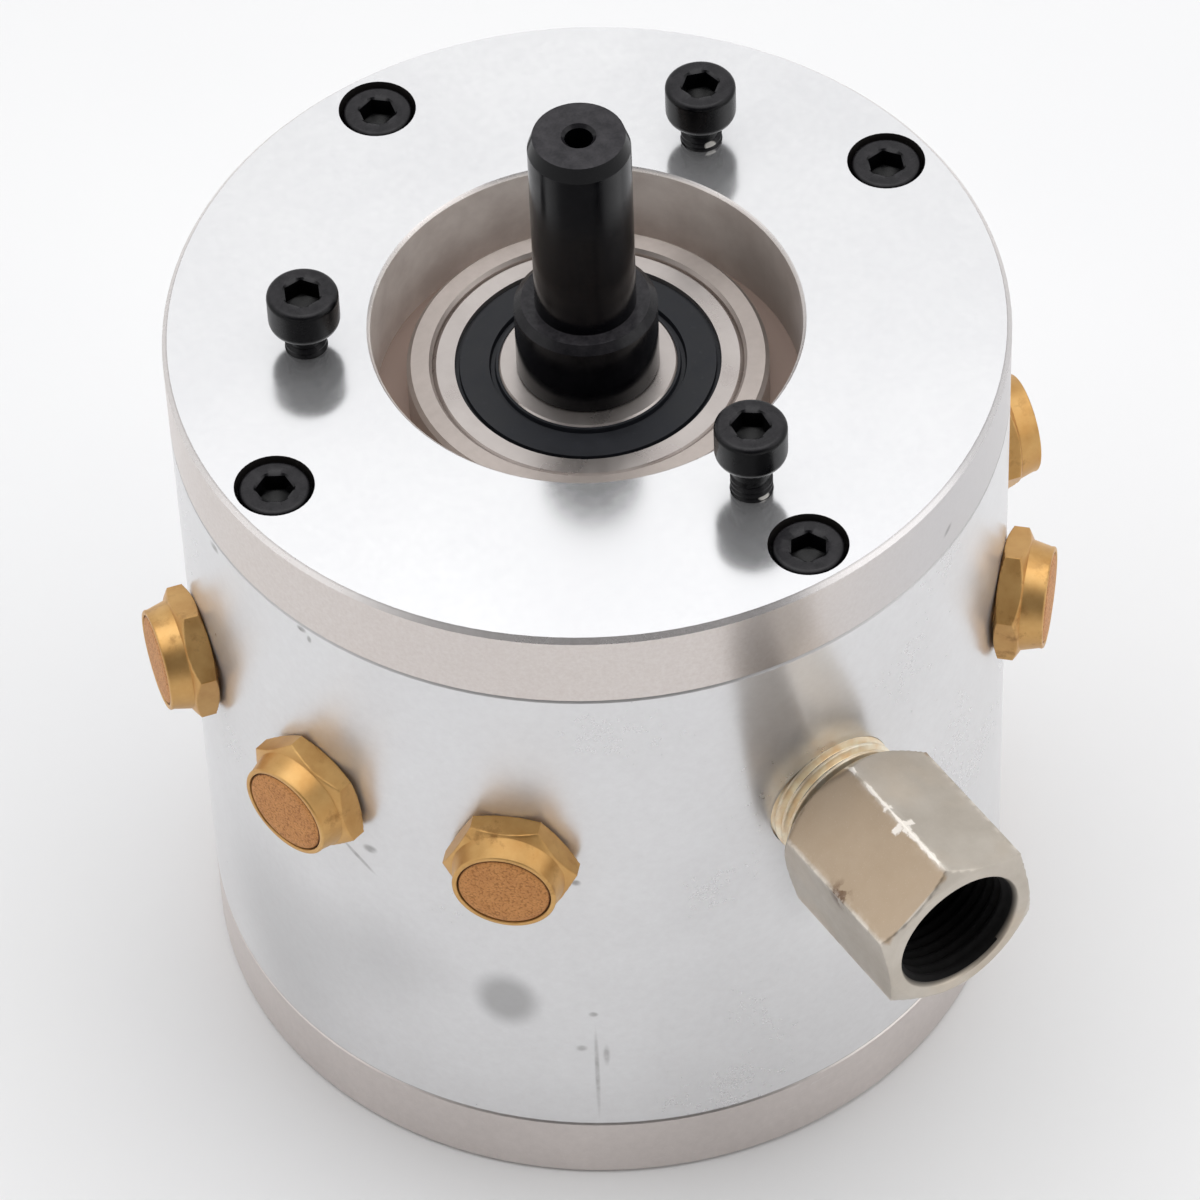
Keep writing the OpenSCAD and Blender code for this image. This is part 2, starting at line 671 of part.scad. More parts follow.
module idler_shaft() {
    low = chamber_bot_z - bush_len + 0.5;
    high = chamber_top_z + bush_len - 0.5;
    r = idler_shaft_d / 2;
    color("gray") translate([centre_dist, 0, 0])
        turned([[0, low], [r - 0.5, low], [r, low + 0.5], [r, high - 0.5], [r - 0.5, high], [0, high]]);
}

module idler_bushes() {
    color("peru") translate([centre_dist, 0, 0]) for (z = [chamber_bot_z - bush_len, chamber_top_z])
        translate([0, 0, z]) difference() {
            cylinder(d = idler_shaft_d + 2 * bush_wall, h = bush_len);
            translate([0, 0, -past]) cylinder(d = idler_shaft_d + 2 * running_gap, h = bush_len + 2 * past);
        }
}

module front_retaining_ring() {
    color("darkslategray") retaining_ring(shaft_d, ring_z);
}

module rear_retaining_ring() {
    color("darkslategray") retaining_ring(shaft_d, rear_spigot_z - ring_t);
}

module front_bearing_outer_ring() {
    color("lightslategray") translate([0, 0, bearing_bot_z])
        outer_race(front_bearing_od, front_bearing_w, front_ball_d);
}

module front_bearing_inner_ring() {
    color("lightslategray") translate([0, 0, bearing_bot_z])
        inner_race(front_bearing_od, front_bearing_w, front_ball_d);
}

module front_bearing_balls() {
    color("whitesmoke") translate([0, 0, bearing_bot_z])
        balls(front_bearing_od, front_bearing_w, front_ball_d, front_balls);
}

module front_bearing_cage() {
    color("goldenrod") translate([0, 0, bearing_bot_z])
        cage(front_bearing_od, front_bearing_w, front_ball_d, front_balls);
}

module front_bearing_seals() {
    color("black") {
        translate([0, 0, bearing_top_z]) bearing_seal(front_bearing_od, front_ball_d);
        translate([0, 0, bearing_bot_z]) mirror([0, 0, 1]) bearing_seal(front_bearing_od, front_ball_d);
    }
}

module rear_bearing_outer_ring() {
    color("lightslategray") translate([0, 0, rear_spigot_z])
        outer_race(rear_bearing_od, rear_bearing_w, rear_ball_d);
}

module rear_bearing_inner_ring() {
    color("lightslategray") translate([0, 0, rear_spigot_z])
        inner_race(rear_bearing_od, rear_bearing_w, rear_ball_d);
}

module rear_bearing_balls() {
    color("whitesmoke") translate([0, 0, rear_spigot_z])
        balls(rear_bearing_od, rear_bearing_w, rear_ball_d, rear_balls);
}

module rear_bearing_cage() {
    color("goldenrod") translate([0, 0, rear_spigot_z])
        cage(rear_bearing_od, rear_bearing_w, rear_ball_d, rear_balls);
}

// Rubber shaft seal: a case wall, a web and a lip that leans on the shaft
module shaft_lip_seal() {
    out = lip_seal_od / 2;
    lip = shaft_d / 2 + running_gap;
    top = lip_seal_w;
    color("black") translate([0, 0, lip_seal_z])
        turned([[out - 1.4, 0], [out, 0], [out, top], [lip + 1, top], [lip + 0.7, top - 1.5], [lip, 1.6],
            [lip, 1.2], [lip + 1, 0.6], [lip + 1.6, 0.8], [lip + 1.8, top - 1.4], [out - 1.4, top - 1.4]]);
}

module dowel_pins() {
    r = dowel_d / 2;
    color("gray") around(dowel_radius, dowel_clocks)
        turned([[0, dowel_bot_z], [r - 0.5, dowel_bot_z], [r, dowel_bot_z + 0.5], [r, dowel_top_z - 0.5],
            [r - 0.5, dowel_top_z], [0, dowel_top_z]]);
}

module front_ring_seal() {
    color("black") ring_seal(chamber_top_z, flange_z);
}

module rear_ring_seal() {
    color("black") ring_seal(rear_spigot_z, chamber_bot_z);
}

module front_cover_screws() {
    color("black") around(cover_screw_r, cover_clocks)
        translate([0, 0, face_z - screw_seat]) socket_screw(cover_screw_len);
}

module rear_cover_screws() {
    color("black") around(cover_screw_r, cover_clocks)
        translate([0, 0, screw_seat]) mirror([0, 0, 1]) socket_screw(cover_screw_len);
}

module mounting_screws() {
    color("black") for (i = [0:mount_screw_count - 1]) rotate([0, 0, mount_clocks[i]])
        translate([mount_screw_r, 0, face_z + mount_lifts[i]]) rotate([0, 0, i * mount_screw_step])
            socket_screw(mount_screw_len);
}

module inlet_fitting() {
    total = inlet_neck + inlet_hex_len;
    color("tan") radial(inlet_angle, body_r, inlet_z) rotate([0, 0, 90 + inlet_turn]) difference() {
        union() {
            translate([0, 0, inlet_neck])
                ridged_thread(inlet_thread_d, inlet_pitch, inlet_neck + inlet_thread_len);
            translate([0, 0, inlet_neck]) turned_hex(inlet_af, inlet_hex_len, 1.7, 0.9);
        }
        translate([0, 0, -inlet_thread_len - past])
            cylinder(d = passage_d, h = total + inlet_thread_len + 2 * past);
        translate([0, 0, total - inlet_bore_depth]) cylinder(d = inlet_bore_d, h = inlet_bore_depth + past);
        translate([0, 0, total]) turned([[0, -(inlet_mouth_d - inlet_bore_d) / 2], [inlet_bore_d / 2,
            -(inlet_mouth_d - inlet_bore_d) / 2], [inlet_mouth_d / 2, 0], [inlet_mouth_d / 2, past],
            [0, past]]);
    }
}

// Brass silencer body, drawn outwards from the body surface at z = 0
module silencer_body() {
    face = silencer_face_d / 2;
    base = silencer_af / 2 - 0.25;
    top = silencer_hex_t + silencer_collar_h;
    seat = face - silencer_lip;
    difference() {
        union() {
            translate([0, 0, -silencer_thread_len])
                cylinder(d = silencer_thread_d, h = silencer_thread_len + past);
            turned_hex(silencer_af, silencer_hex_t, 0.5, 0.6);
            turned([[0, past], [base, past], [base, silencer_hex_t + 0.2], [face + 0.15, top - 0.5],
                [face, top - 0.15], [face - 0.15, top], [0, top]]);
        }
        translate([0, 0, -silencer_thread_len - past])
            cylinder(d = silencer_bore_d, h = silencer_thread_len + top + 2 * past);
        translate([0, 0, top - silencer_disc_t]) cylinder(r = seat, h = silencer_disc_t + past);
    }
}

// Sintered disc with a softly turned edge, set in the rolled lip
module silencer_disc() {
    r = silencer_face_d / 2 - silencer_lip - press_gap;
    top = silencer_hex_t + silencer_collar_h;
    turned([[0, top - silencer_disc_t], [r, top - silencer_disc_t], [r, top - 0.45], [r - 0.15, top - 0.2],
        [r - 0.5, top - 0.02], [r - 1.2, top + 0.05], [0, top + 0.08]]);
}

module silencer_bodies() {
    color("darkgoldenrod") for (p = silencer_places)
        radial(p[0], body_r, silencer_z) rotate([0, 0, 90 + p[1]]) silencer_body();
}

module silencer_discs() {
    color("chocolate") for (p = silencer_places)
        radial(p[0], body_r, silencer_z) silencer_disc();
}

front_cover();
motor_body();
rear_cover();
chamber_block();
front_end_plate();
rear_end_plate();
output_shaft();
drive_gear();
drive_key();
front_retaining_ring();
rear_retaining_ring();
front_bearing_outer_ring();
front_bearing_inner_ring();
front_bearing_balls();
front_bearing_cage();
front_bearing_seals();
rear_bearing_outer_ring();
rear_bearing_inner_ring();
rear_bearing_balls();
rear_bearing_cage();
shaft_lip_seal();
idler_gear();
idler_shaft();
idler_bushes();
dowel_pins();
front_ring_seal();
rear_ring_seal();
front_cover_screws();
rear_cover_screws();
mounting_screws();
inlet_fitting();
silencer_bodies();
silencer_discs();
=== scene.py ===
import math

import bpy
from mathutils import Matrix, Vector


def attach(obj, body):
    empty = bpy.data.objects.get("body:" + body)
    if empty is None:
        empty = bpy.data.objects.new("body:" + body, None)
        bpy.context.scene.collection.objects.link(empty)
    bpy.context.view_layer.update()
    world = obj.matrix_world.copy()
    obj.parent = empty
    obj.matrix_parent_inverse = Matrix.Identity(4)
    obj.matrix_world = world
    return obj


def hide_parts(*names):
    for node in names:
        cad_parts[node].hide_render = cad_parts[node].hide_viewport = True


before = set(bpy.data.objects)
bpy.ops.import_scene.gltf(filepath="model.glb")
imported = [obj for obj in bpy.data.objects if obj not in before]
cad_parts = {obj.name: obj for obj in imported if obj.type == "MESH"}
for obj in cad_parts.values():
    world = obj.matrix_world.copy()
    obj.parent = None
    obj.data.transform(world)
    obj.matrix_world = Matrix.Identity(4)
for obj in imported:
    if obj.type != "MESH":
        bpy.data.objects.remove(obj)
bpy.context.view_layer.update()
MM = 0.001

# Sizes of the part in millimetres and its turns in degrees, as in its solids
FACE_Z, FRONT_SEAM_Z, REAR_SEAM_Z = 100.6, 90.0, 10.0
BODY_R, RECESS_R, TRENCH_Z = 50.0, 25.5, 87.85
COVER_SCREW_R, MOUNT_SCREW_R, COVER_CLOCK = 44.0, 33.0, 1.3
COVER_SCREW_LEN, MOUNT_SCREW_LEN, HEAD_SINK = 20.0, 16.0, 0.3
MOUNT_LIFTS = (5.6, 4.0, 3.75)
HEAD_D, HEAD_H, SOCKET_AF, SOCKET_DEPTH = 8.5, 5.0, 4.0, 2.6
HEAD_FOOT_W, HEAD_FOOT_H, HEAD_ROUND, SEAT_GAP = 0.6, 1.0, 0.7, 0.02
SHANK_R, SHANK_TIP_R, SOCKET_RIM_W, SOCKET_RIM_H = 2.42, 1.6, 0.12, 0.22
THREAD_CORE_R, THREAD_R, THREAD_PITCH = 2.1, 2.48, 0.8
INLET_ANGLE, INLET_Z, INLET_TURN = -90.0, FACE_Z - 37.85, 37.4
INLET_AF, INLET_NECK, INLET_END, INLET_PITCH = 20.0, 4.3, 25.6, 1.337
INLET_BORE_R, INLET_TAIL, INLET_TAIL_R, INLET_FACE_R = 5.2, -9.0, 7.55, 9.75
MALE_CORE_R, MALE_R, FEMALE_ROOT_R, FEMALE_R = 7.5, 8.33, 7.98, 7.475
INLET_RINGS_FROM, INLET_RINGS_STEP, INLET_RINGS = 7.0, 0.75, 22
SILENCER_Z, SILENCER_AF, SILENCER_TAIL, SILENCER_TAIL_R = FACE_Z - 38.85, 14.0, -7.6, 4.86
SILENCER_START, SILENCER_PITCH, SILENCERS_PER_SIDE = 45.0, 30.0, 3
SILENCER_TURN, SILENCER_SPLIT, SILENCER_STEP = 21.7, 18.3, 22.6

# Turns of the screws' sockets, and how far a cover screw stands free of its thread
COVER_SPIN, COVER_SPIN_STEP, MOUNT_SPINS, COVER_FREE = 23, 41, (50, 8, 32), 6

# Depth of the lathe lines in metres, and how strongly they show
LINE_DEPTH, LINE_STRENGTH = 0.000002, 0.1

# Marks that the photograph shows
SPOTS_FACE = -122.0  # turn of the wall that faces the camera, where the flat map has its middle
WORN_CORNER, SCARRED_CORNER, SCAR_ALONG = 60.0, 120.0, 16.0
# Bare chips at two mounting screws: screw, turn round it, height over the face, half sizes
CHIPS = ((0, -84.0, 0.3, 0.85, 0.3), (1, -96.0, 0.7, 0.75, 0.45))


def srgb(r, g, b):
    def linear(c):
        c /= 255
        return c / 12.92 if c <= 0.04045 else ((c + 0.055) / 1.055) ** 2.4

    return (linear(r), linear(g), linear(b), 1.0)


def shade(tone, share):
    """A tone made darker or lighter by a share."""
    return srgb(*[c * share for c in tone])


def plug(tree, value, socket):
    """Links a node's output to a socket, or sets a plain value on it."""
    if isinstance(value, bpy.types.NodeSocket):
        tree.links.new(value, socket)
    else:
        socket.default_value = value


def add_node(tree, kind, inputs=None, **props):
    made = tree.nodes.new(kind)
    for key, value in props.items():
        setattr(made, key, value)
    for key, value in (inputs or {}).items():
        plug(tree, value, made.inputs[key])
    return made


class Mat:
    """A node material with short calls for the nodes it is built from."""

    def __init__(self, name, metallic=1.0, **fixed):
        self.mat = bpy.data.materials.new(name)
        self.mat.use_nodes = True
        self.tree = self.mat.node_tree
        self.bsdf = self.tree.nodes["Principled BSDF"]
        self.bsdf.inputs["Metallic"].default_value = metallic
        for key, value in fixed.items():
            self.bsdf.inputs[key.replace("_", " ")].default_value = value
        self.place = self.node("ShaderNodeTexCoord").outputs["Object"]
        self.walls = {}

    def node(self, kind, inputs=None, **props):
        return add_node(self.tree, kind, inputs, **props)

    def math(self, op, a, b=0.0):
        return self.node("ShaderNodeMath", {0: a, 1: b}, operation=op).outputs[0]

    def times(self, *values):
        total = values[0]
        for value in values[1:]:
            total = self.math("MULTIPLY", total, value)
        return total

    def vector(self, op, a, b=(0, 0, 0)):
        made = self.node("ShaderNodeVectorMath", {0: a, 1: b}, operation=op)
        return made.outputs["Value" if op in ("LENGTH", "DOT_PRODUCT") else "Vector"]

    def scaled(self, scale, rotation=(0, 0, 0)):
        inputs = {"Vector": self.place, "Scale": scale, "Rotation": rotation}
        return self.node("ShaderNodeMapping", inputs).outputs[0]

    def noise(self, scale, detail=3.0, rough=0.55, vector=None):
        place = vector or self.place
        inputs = {"Vector": place, "Scale": scale, "Detail": detail, "Roughness": rough}
        return self.node("ShaderNodeTexNoise", inputs).outputs["Fac"]

    def cells(self, scale):
        return self.node("ShaderNodeTexVoronoi", {"Vector": self.place, "Scale": scale}).outputs

    def ramp(self, value, low, high, out_low=0.0, out_high=1.0):
        inputs = {"Value": value, "From Min": low, "From Max": high,
                  "To Min": out_low, "To Max": out_high}
        return self.node("ShaderNodeMapRange", inputs).outputs["Result"]

    def mix(self, factor, a, b):
        return self.node("ShaderNodeMix", {0: factor, 6: a, 7: b}, data_type="RGBA").outputs[2]

    def attribute(self, name):
        return self.node("ShaderNodeAttribute", attribute_name=name).outputs["Fac"]

    def xyz(self):
        return self.node("ShaderNodeSeparateXYZ", {0: self.place}).outputs

    def radius(self):
        return self.vector("LENGTH", self.vector("MULTIPLY", self.place, (1, 1, 0)))

    def facing_up(self):
        """1 on level faces and 0 on upright walls."""
        normal = self.node("ShaderNodeNewGeometry").outputs["Normal"]
        up = self.node("ShaderNodeSeparateXYZ", {0: normal}).outputs[2]
        return self.ramp(self.math("ABSOLUTE", up), 0.6, 0.9)

    def tool_lines(self, pitch):
        """Fine lathe lines: rings on level faces, and bands across Z on upright walls."""
        out = self.math("DIVIDE", self.radius(), pitch)
        rings = self.node("ShaderNodeCombineXYZ", {0: out}).outputs[0]
        bands = self.scaled((25, 25, 1 / pitch))
        inputs = {0: self.facing_up(), 4: bands, 5: rings}
        where = self.node("ShaderNodeMix", inputs, data_type="VECTOR").outputs[1]
        return self.noise(1.0, 0.0, 0.5, where)

    def scratches(self, length, width, amount, turns):
        """Thin straight marks in several directions, 0 to 1."""
        total = None
        for turn in turns:
            where = self.scaled((1 / length, 1 / width, 1 / width), turn)
            line = self.ramp(self.noise(1.0, 1.0, 0.4, where), 0.97 - amount, 1.02 - amount)
            total = line if total is None else self.math("MAXIMUM", total, line)
        return total

    def specks(self, scale, size, rarity):
        """Small dark dots in scattered patches, 0 to 1."""
        dots = self.ramp(self.cells(scale)["Distance"], size, size * 0.5)
        return self.times(dots, self.ramp(self.noise(scale / 5, 1.0), rarity, rarity + 0.04))

    def unrolled(self, radius):
        """The round wall laid flat: arc length from SPOTS_FACE, and height."""
        if radius not in self.walls:
            a = math.radians(SPOTS_FACE)
            ahead = self.vector("DOT_PRODUCT", self.place, (math.cos(a), math.sin(a), 0))
            aside = self.vector("DOT_PRODUCT", self.place, (-math.sin(a), math.cos(a), 0))
            arc_length = self.times(self.math("ARCTAN2", aside, ahead), radius * MM)
            made = self.node("ShaderNodeCombineXYZ", {0: arc_length, 1: self.xyz()[2]})
            self.walls[radius] = made.outputs[0]
        return self.walls[radius]

    def spot(self, angle, height, width, tall, tilt=0.0, soft=0.5, radius=BODY_R):
        """1 at a place on the round wall, 0 past its edge. Sizes are half sizes in millimetres."""
        turn = math.remainder(math.radians(angle - SPOTS_FACE), 2 * math.pi)
        place = {"Vector": self.unrolled(radius), "Location": (turn * radius * MM, height * MM, 0),
                 "Rotation": (0, 0, math.radians(tilt)), "Scale": (width * MM, tall * MM, 1)}
        mapped = self.node("ShaderNodeMapping", place, vector_type="TEXTURE").outputs[0]
        far = self.vector("LENGTH", mapped)
        limits = {"Value": far, "From Min": 1 + soft, "From Max": 1 - soft}
        made = self.node("ShaderNodeMapRange", limits, interpolation_type="SMOOTHSTEP")
        return made.outputs["Result"]

    def bump(self, height, distance, strength, edge=0.0):
        """A bump; edge is the radius in metres by which sharp edges look rounded."""
        inputs = {"Height": height, "Distance": distance, "Strength": strength}
        if edge:
            inputs["Normal"] = self.node("ShaderNodeBevel", {"Radius": edge}, samples=4).outputs[0]
        return self.node("ShaderNodeBump", inputs).outputs[0]

    def turned(self, amount):
        """Stretches reflections across the lathe lines, which run round Z."""
        self.bsdf.inputs["Anisotropic"].default_value = amount
        self.bsdf.inputs["Anisotropic Rotation"].default_value = 0.25
        tangent = self.node("ShaderNodeTangent", direction_type="RADIAL", axis="Z").outputs[0]
        self.tree.links.new(tangent, self.bsdf.inputs["Tangent"])

    def done(self, color, rough, normal=None, metallic=None):
        given = {"Base Color": color, "Roughness": rough, "Normal": normal, "Metallic": metallic}
        for key, value in given.items():
            if value is not None:
                plug(self.tree, value, self.bsdf.inputs[key])
        return self.mat


def aluminium(name, light, dark, rough, finish=None, worn=False, metallic=0.82):
    """Turned aluminium: lathe lines and cloudy tone.

    finish adds a piece's own marks and, on some pieces, painted shade and painted reflections, and
    worn adds scratches and specks.
    """
    m = Mat(name)
    m.turned(0.5)
    broad, fine = m.times(m.noise(38.0, 4.0, 0.6), 0.65), m.times(m.noise(900.0, 2.0, 0.65), 0.35)
    cloud = m.math("ADD", broad, fine)
    color = m.mix(m.ramp(cloud, 0.3, 0.7), dark, light)
    value = m.ramp(cloud, 0.3, 0.7, rough - 0.03, rough + 0.04)
    if finish:
        color, value, metallic = finish(m, color, value, metallic)
    if worn:
        scratch = m.scratches(0.016, 0.00022, 0.25, [(0.2, 0.1, 0.5), (1.1, 0.4, 2.2)])
        color = m.mix(m.times(scratch, 0.15), color, (0.93, 0.93, 0.94, 1))
        color = m.mix(m.times(m.specks(260.0, 0.1, 0.66), 0.25), color, srgb(96, 92, 88))
    lines = m.bump(m.tool_lines(0.0006), LINE_DEPTH, LINE_STRENGTH)
    return m.done(color, value, lines, metallic)


def cover_finish_and_painted_shade(m, color, value, metallic):
    """The rim is duller and warmer than the face, and the recess wall is blotched and darker where
    a painted shadow falls on its far side. Painted reflections darken the rim beside the inlet and
    on its right, and painted shade darkens the screw holes.
    """
    wall = m.math("SUBTRACT", 1.0, m.facing_up())
    mottle = m.ramp(m.noise(1800.0, 4.0, 0.7), 0.3, 0.7)
    rim = m.mix(mottle, srgb(214, 205, 200), srgb(225, 218, 214))
    color = m.mix(wall, color, rim)
    inside = m.ramp(m.radius(), (RECESS_R + 0.3) * MM, (RECESS_R + 0.1) * MM)
    blotch = m.ramp(m.noise(150.0, 4.0, 0.6), 0.35, 0.65)
    bored = m.mix(blotch, srgb(220, 210, 203), srgb(242, 234, 227))
    there = m.times(inside, wall)
    color = m.mix(there, color, bored)
    # Painted shadow: the far side of the recess wall is painted darker
    shadow = m.spot(-6.0, 91.0, 11.0, 10.0, 0.0, 0.9, RECESS_R)
    color = m.mix(m.times(there, shadow, 0.65), color, srgb(112, 104, 98))
    # Painted reflection: a grey patch on the rim beside the inlet stands for the fitting's dark
    # reflection
    painted_fitting_reflection = m.spot(261.0, 96.0, 4.6, 9.0, 0.0, 0.5)
    color = m.mix(m.times(wall, painted_fitting_reflection, 0.4), color, srgb(128, 126, 126))
    # Painted reflection: the right of the rim is painted a darker grey
    painted_reflection_right = m.spot(-58.0, 95.0, 24.0, 20.0, 0.0, 0.7)
    color = m.mix(m.times(wall, painted_reflection_right, 0.7), color, srgb(200, 200, 203))
    mark = m.spot(-67.6, 93.4, 0.8, 0.35, 35.0, 0.5)
    color = m.mix(m.times(wall, mark, 0.5), color, srgb(110, 106, 106))
    under_rim = m.ramp(m.radius(), (BODY_R - 0.4) * MM, (BODY_R - 0.8) * MM)
    past_recess = m.ramp(m.radius(), (RECESS_R + 1.5) * MM, (RECESS_R + 2.5) * MM)
    # Painted shade: the walls of the screw holes are painted nearly black and made less metallic
    painted_shade_holes = m.times(wall, under_rim, past_recess)
    color = m.mix(painted_shade_holes, color, srgb(44, 41, 40))
    dull = m.math("ADD", m.times(there, 0.7), m.times(painted_shade_holes, 0.6))
    return color, m.math("ADD", value, m.times(wall, 0.18)), m.math("SUBTRACT", metallic, dull)


def body_marks_and_painted_shade(m, color, value, metallic):
    """Painted shade and marks of handling: soft dark patches of painted shade under the silencers,
    a painted dark reflection beside the inlet fitting, and a few scrapes and dots.

    Each has its turn, height, half width, half height, tilt, softness and depth of tone.
    """
    # Painted shade under the silencers, and at -95 the painted reflection of the inlet fitting;
    # these patches are also a little rougher
    painted_shade_patches = [(-137.2, 33.6, 3.5, 4.2, 0.0, 0.45, 0.5), (-158.0, 33.0, 9.0, 7.0, 35.0, 0.9, 0.18),
               (-176.0, 24.0, 9.0, 14.0, 10.0, 0.9, 0.24), (-95.0, 55.0, 3.0, 9.0, 0.0, 0.9, 0.25)]
    scrapes = [(-125.0, 20.5, 0.25, 6.5, 0.0, 0.6, 0.42), (-123.6, 24.0, 0.35, 1.6, 0.0, 0.6, 0.35),
               (-127.0, 25.3, 0.6, 0.5, 0.0, 0.5, 0.4), (-158.8, 52.0, 2.4, 0.3, -38.0, 0.6, 0.5),
               (-156.6, 54.6, 0.9, 0.6, 20.0, 0.5, 0.5), (-126.7, 57.2, 0.5, 0.45, 0.0, 0.5, 0.7),
               (-165.5, 89.2, 0.6, 0.4, 0.0, 0.5, 0.75), (-164.2, 88.2, 0.3, 0.5, 0.0, 0.5, 0.5),
               (175.0, 88.8, 0.9, 0.5, 0.0, 0.5, 0.6), (-125.2, 32.0, 0.5, 0.4, 0.0, 0.5, 0.45)]
    grain = m.ramp(m.noise(700.0, 2.0), 0.3, 0.6, 0.5, 1.0)
    # Painted shade and painted reflection on the wall
    for *place, depth in painted_shade_patches:
        there = m.spot(*place)
        color = m.mix(m.times(there, depth), color, srgb(120, 119, 118))
        value = m.math("ADD", value, m.times(there, 0.08))
    for *place, depth in scrapes:
        color = m.mix(m.times(m.spot(*place), grain, depth), color, srgb(78, 72, 66))
    seam = m.ramp(m.xyz()[2], (REAR_SEAM_Z + 0.4) * MM, (REAR_SEAM_Z + 0.2) * MM)
    top = m.ramp(m.xyz()[2], (FRONT_SEAM_Z - 0.35) * MM, (FRONT_SEAM_Z - 0.2) * MM)
    color = m.mix(m.times(top, 0.6), color, srgb(178, 175, 174))
    value = m.math("ADD", value, m.times(top, 0.2))
    return m.mix(m.times(seam, 0.7), color, srgb(70, 66, 62)), value, metallic


def plate_finish(m, color, value, metallic):
    """The trench floor round the boss is dull and brownish."""
    low = m.ramp(m.xyz()[2], (TRENCH_Z + 0.7) * MM, (TRENCH_Z + 0.3) * MM)
    color = m.mix(low, color, srgb(170, 150, 140))
    value = m.math("ADD", value, m.times(low, 0.15))
    return color, value, m.math("SUBTRACT", metallic, m.times(low, 0.2))


def black_oxide(name, tone, rough, level=1.0, chips=()):
    """Black oxide on steel: cloudy, greyer on level faces as a painted sheen, painted nearly black
    in the socket as painted shade, and bare where it is chipped.
    """
    m = Mat(name, 0.0, Specular_IOR_Level=0.2)
    cloud = m.noise(260.0, 4.0, 0.6)
    rub = m.scratches(0.004, 0.0001, 0.28, [(0.3, 0.2, 0.9), (1.2, 0.7, 0.1)])
    color = m.mix(m.ramp(cloud, 0.35, 0.7), shade(tone, 0.75), shade(tone, 1.25))
    patches = m.ramp(m.noise(700.0, 4.0, 0.7), 0.35, 0.7)
    # Painted sheen: level faces are painted a lighter grey, by level
    painted_level_sheen = m.mix(patches, srgb(42, 41, 44), srgb(64, 62, 65))
    color = m.mix(m.times(m.facing_up(), level), color, painted_level_sheen)
    # Painted shade: the inside of the socket is painted nearly black
    color = m.mix(m.attribute("deep"), color, srgb(5, 5, 6))
    color = m.mix(m.times(rub, 0.12), color, srgb(70, 69, 70))
    for where, half_wide, half_tall in chips:
        off = m.vector("SUBTRACT", m.place, where)
        sizes = Vector((half_wide, half_wide, half_tall)) * MM
        far = m.vector("LENGTH", m.vector("DIVIDE", off, sizes))
        ragged = m.math("ADD", far, m.ramp(cloud, 0.3, 0.7, -0.2, 0.2))
        color = m.mix(m.ramp(ragged, 1.1, 0.8), color, srgb(222, 218, 212))
    value = m.ramp(cloud, 0.3, 0.7, rough - 0.05, rough + 0.08)
    return m.done(color, value, m.bump(m.noise(1900.0, 2.0), 0.00001, 0.25))


def chip_place(screw, turn, height, half_wide, half_tall):
    """Middle of a chip in metres, on the thread of a mounting screw, and its half sizes."""
    a, b = math.radians(INLET_ANGLE + COVER_CLOCK + 120 * screw), math.radians(turn)
    x = MOUNT_SCREW_R * math.cos(a) + THREAD_R * math.cos(b)
    y = MOUNT_SCREW_R * math.sin(a) + THREAD_R * math.sin(b)
    return Vector((x, y, FACE_Z + height)) * MM, half_wide, half_tall


def bearing_steel(name):
    """Ground bearing steel with fine rings and a faint warm cast."""
    m = Mat(name)
    m.turned(0.4)
    cloud = m.noise(140.0, 4.0, 0.6)
    color = m.mix(m.ramp(cloud, 0.3, 0.7), srgb(180, 172, 168), srgb(196, 189, 185))
    value = m.ramp(cloud, 0.3, 0.7, 0.24, 0.34)
    return m.done(color, value, m.bump(m.tool_lines(0.0004), LINE_DEPTH, LINE_STRENGTH), 0.9)


def rubber(name, tone):
    m = Mat(name, 0.0, Specular_IOR_Level=0.35)
    cloud = m.noise(300.0, 5.0, 0.65)
    dust = m.ramp(m.noise(900.0, 4.0, 0.7), 0.6, 0.75)
    color = m.mix(m.ramp(cloud, 0.3, 0.75), shade(tone, 0.85), shade(tone, 1.12))
    color = m.mix(m.times(dust, 0.1), color, srgb(96, 97, 100))
    value = m.ramp(cloud, 0.3, 0.7, 0.42, 0.6)
    return m.done(color, value, m.bump(m.noise(2600.0, 3.0), 0.00002, 0.3))


def plain_metal(name, light, dark, rough, metallic=1.0, scale=180.0, depth=0.00001):
    """Machined or ground metal of the inside pieces, with tool lines across Z and cloudy tone."""
    m = Mat(name, metallic)
    cloud = m.noise(scale, 4.0, 0.6)
    lines = m.noise(1.0, 2.0, 0.6, m.scaled((60, 60, 4200)))
    color = m.mix(m.ramp(cloud, 0.3, 0.7), dark, light)
    height = m.math("ADD", m.times(cloud, 0.4), m.times(lines, 0.6))
    value = m.ramp(cloud, 0.3, 0.7, rough - 0.05, rough + 0.07)
    return m.done(color, value, m.bump(height, depth, 0.4, 0.1 * MM))


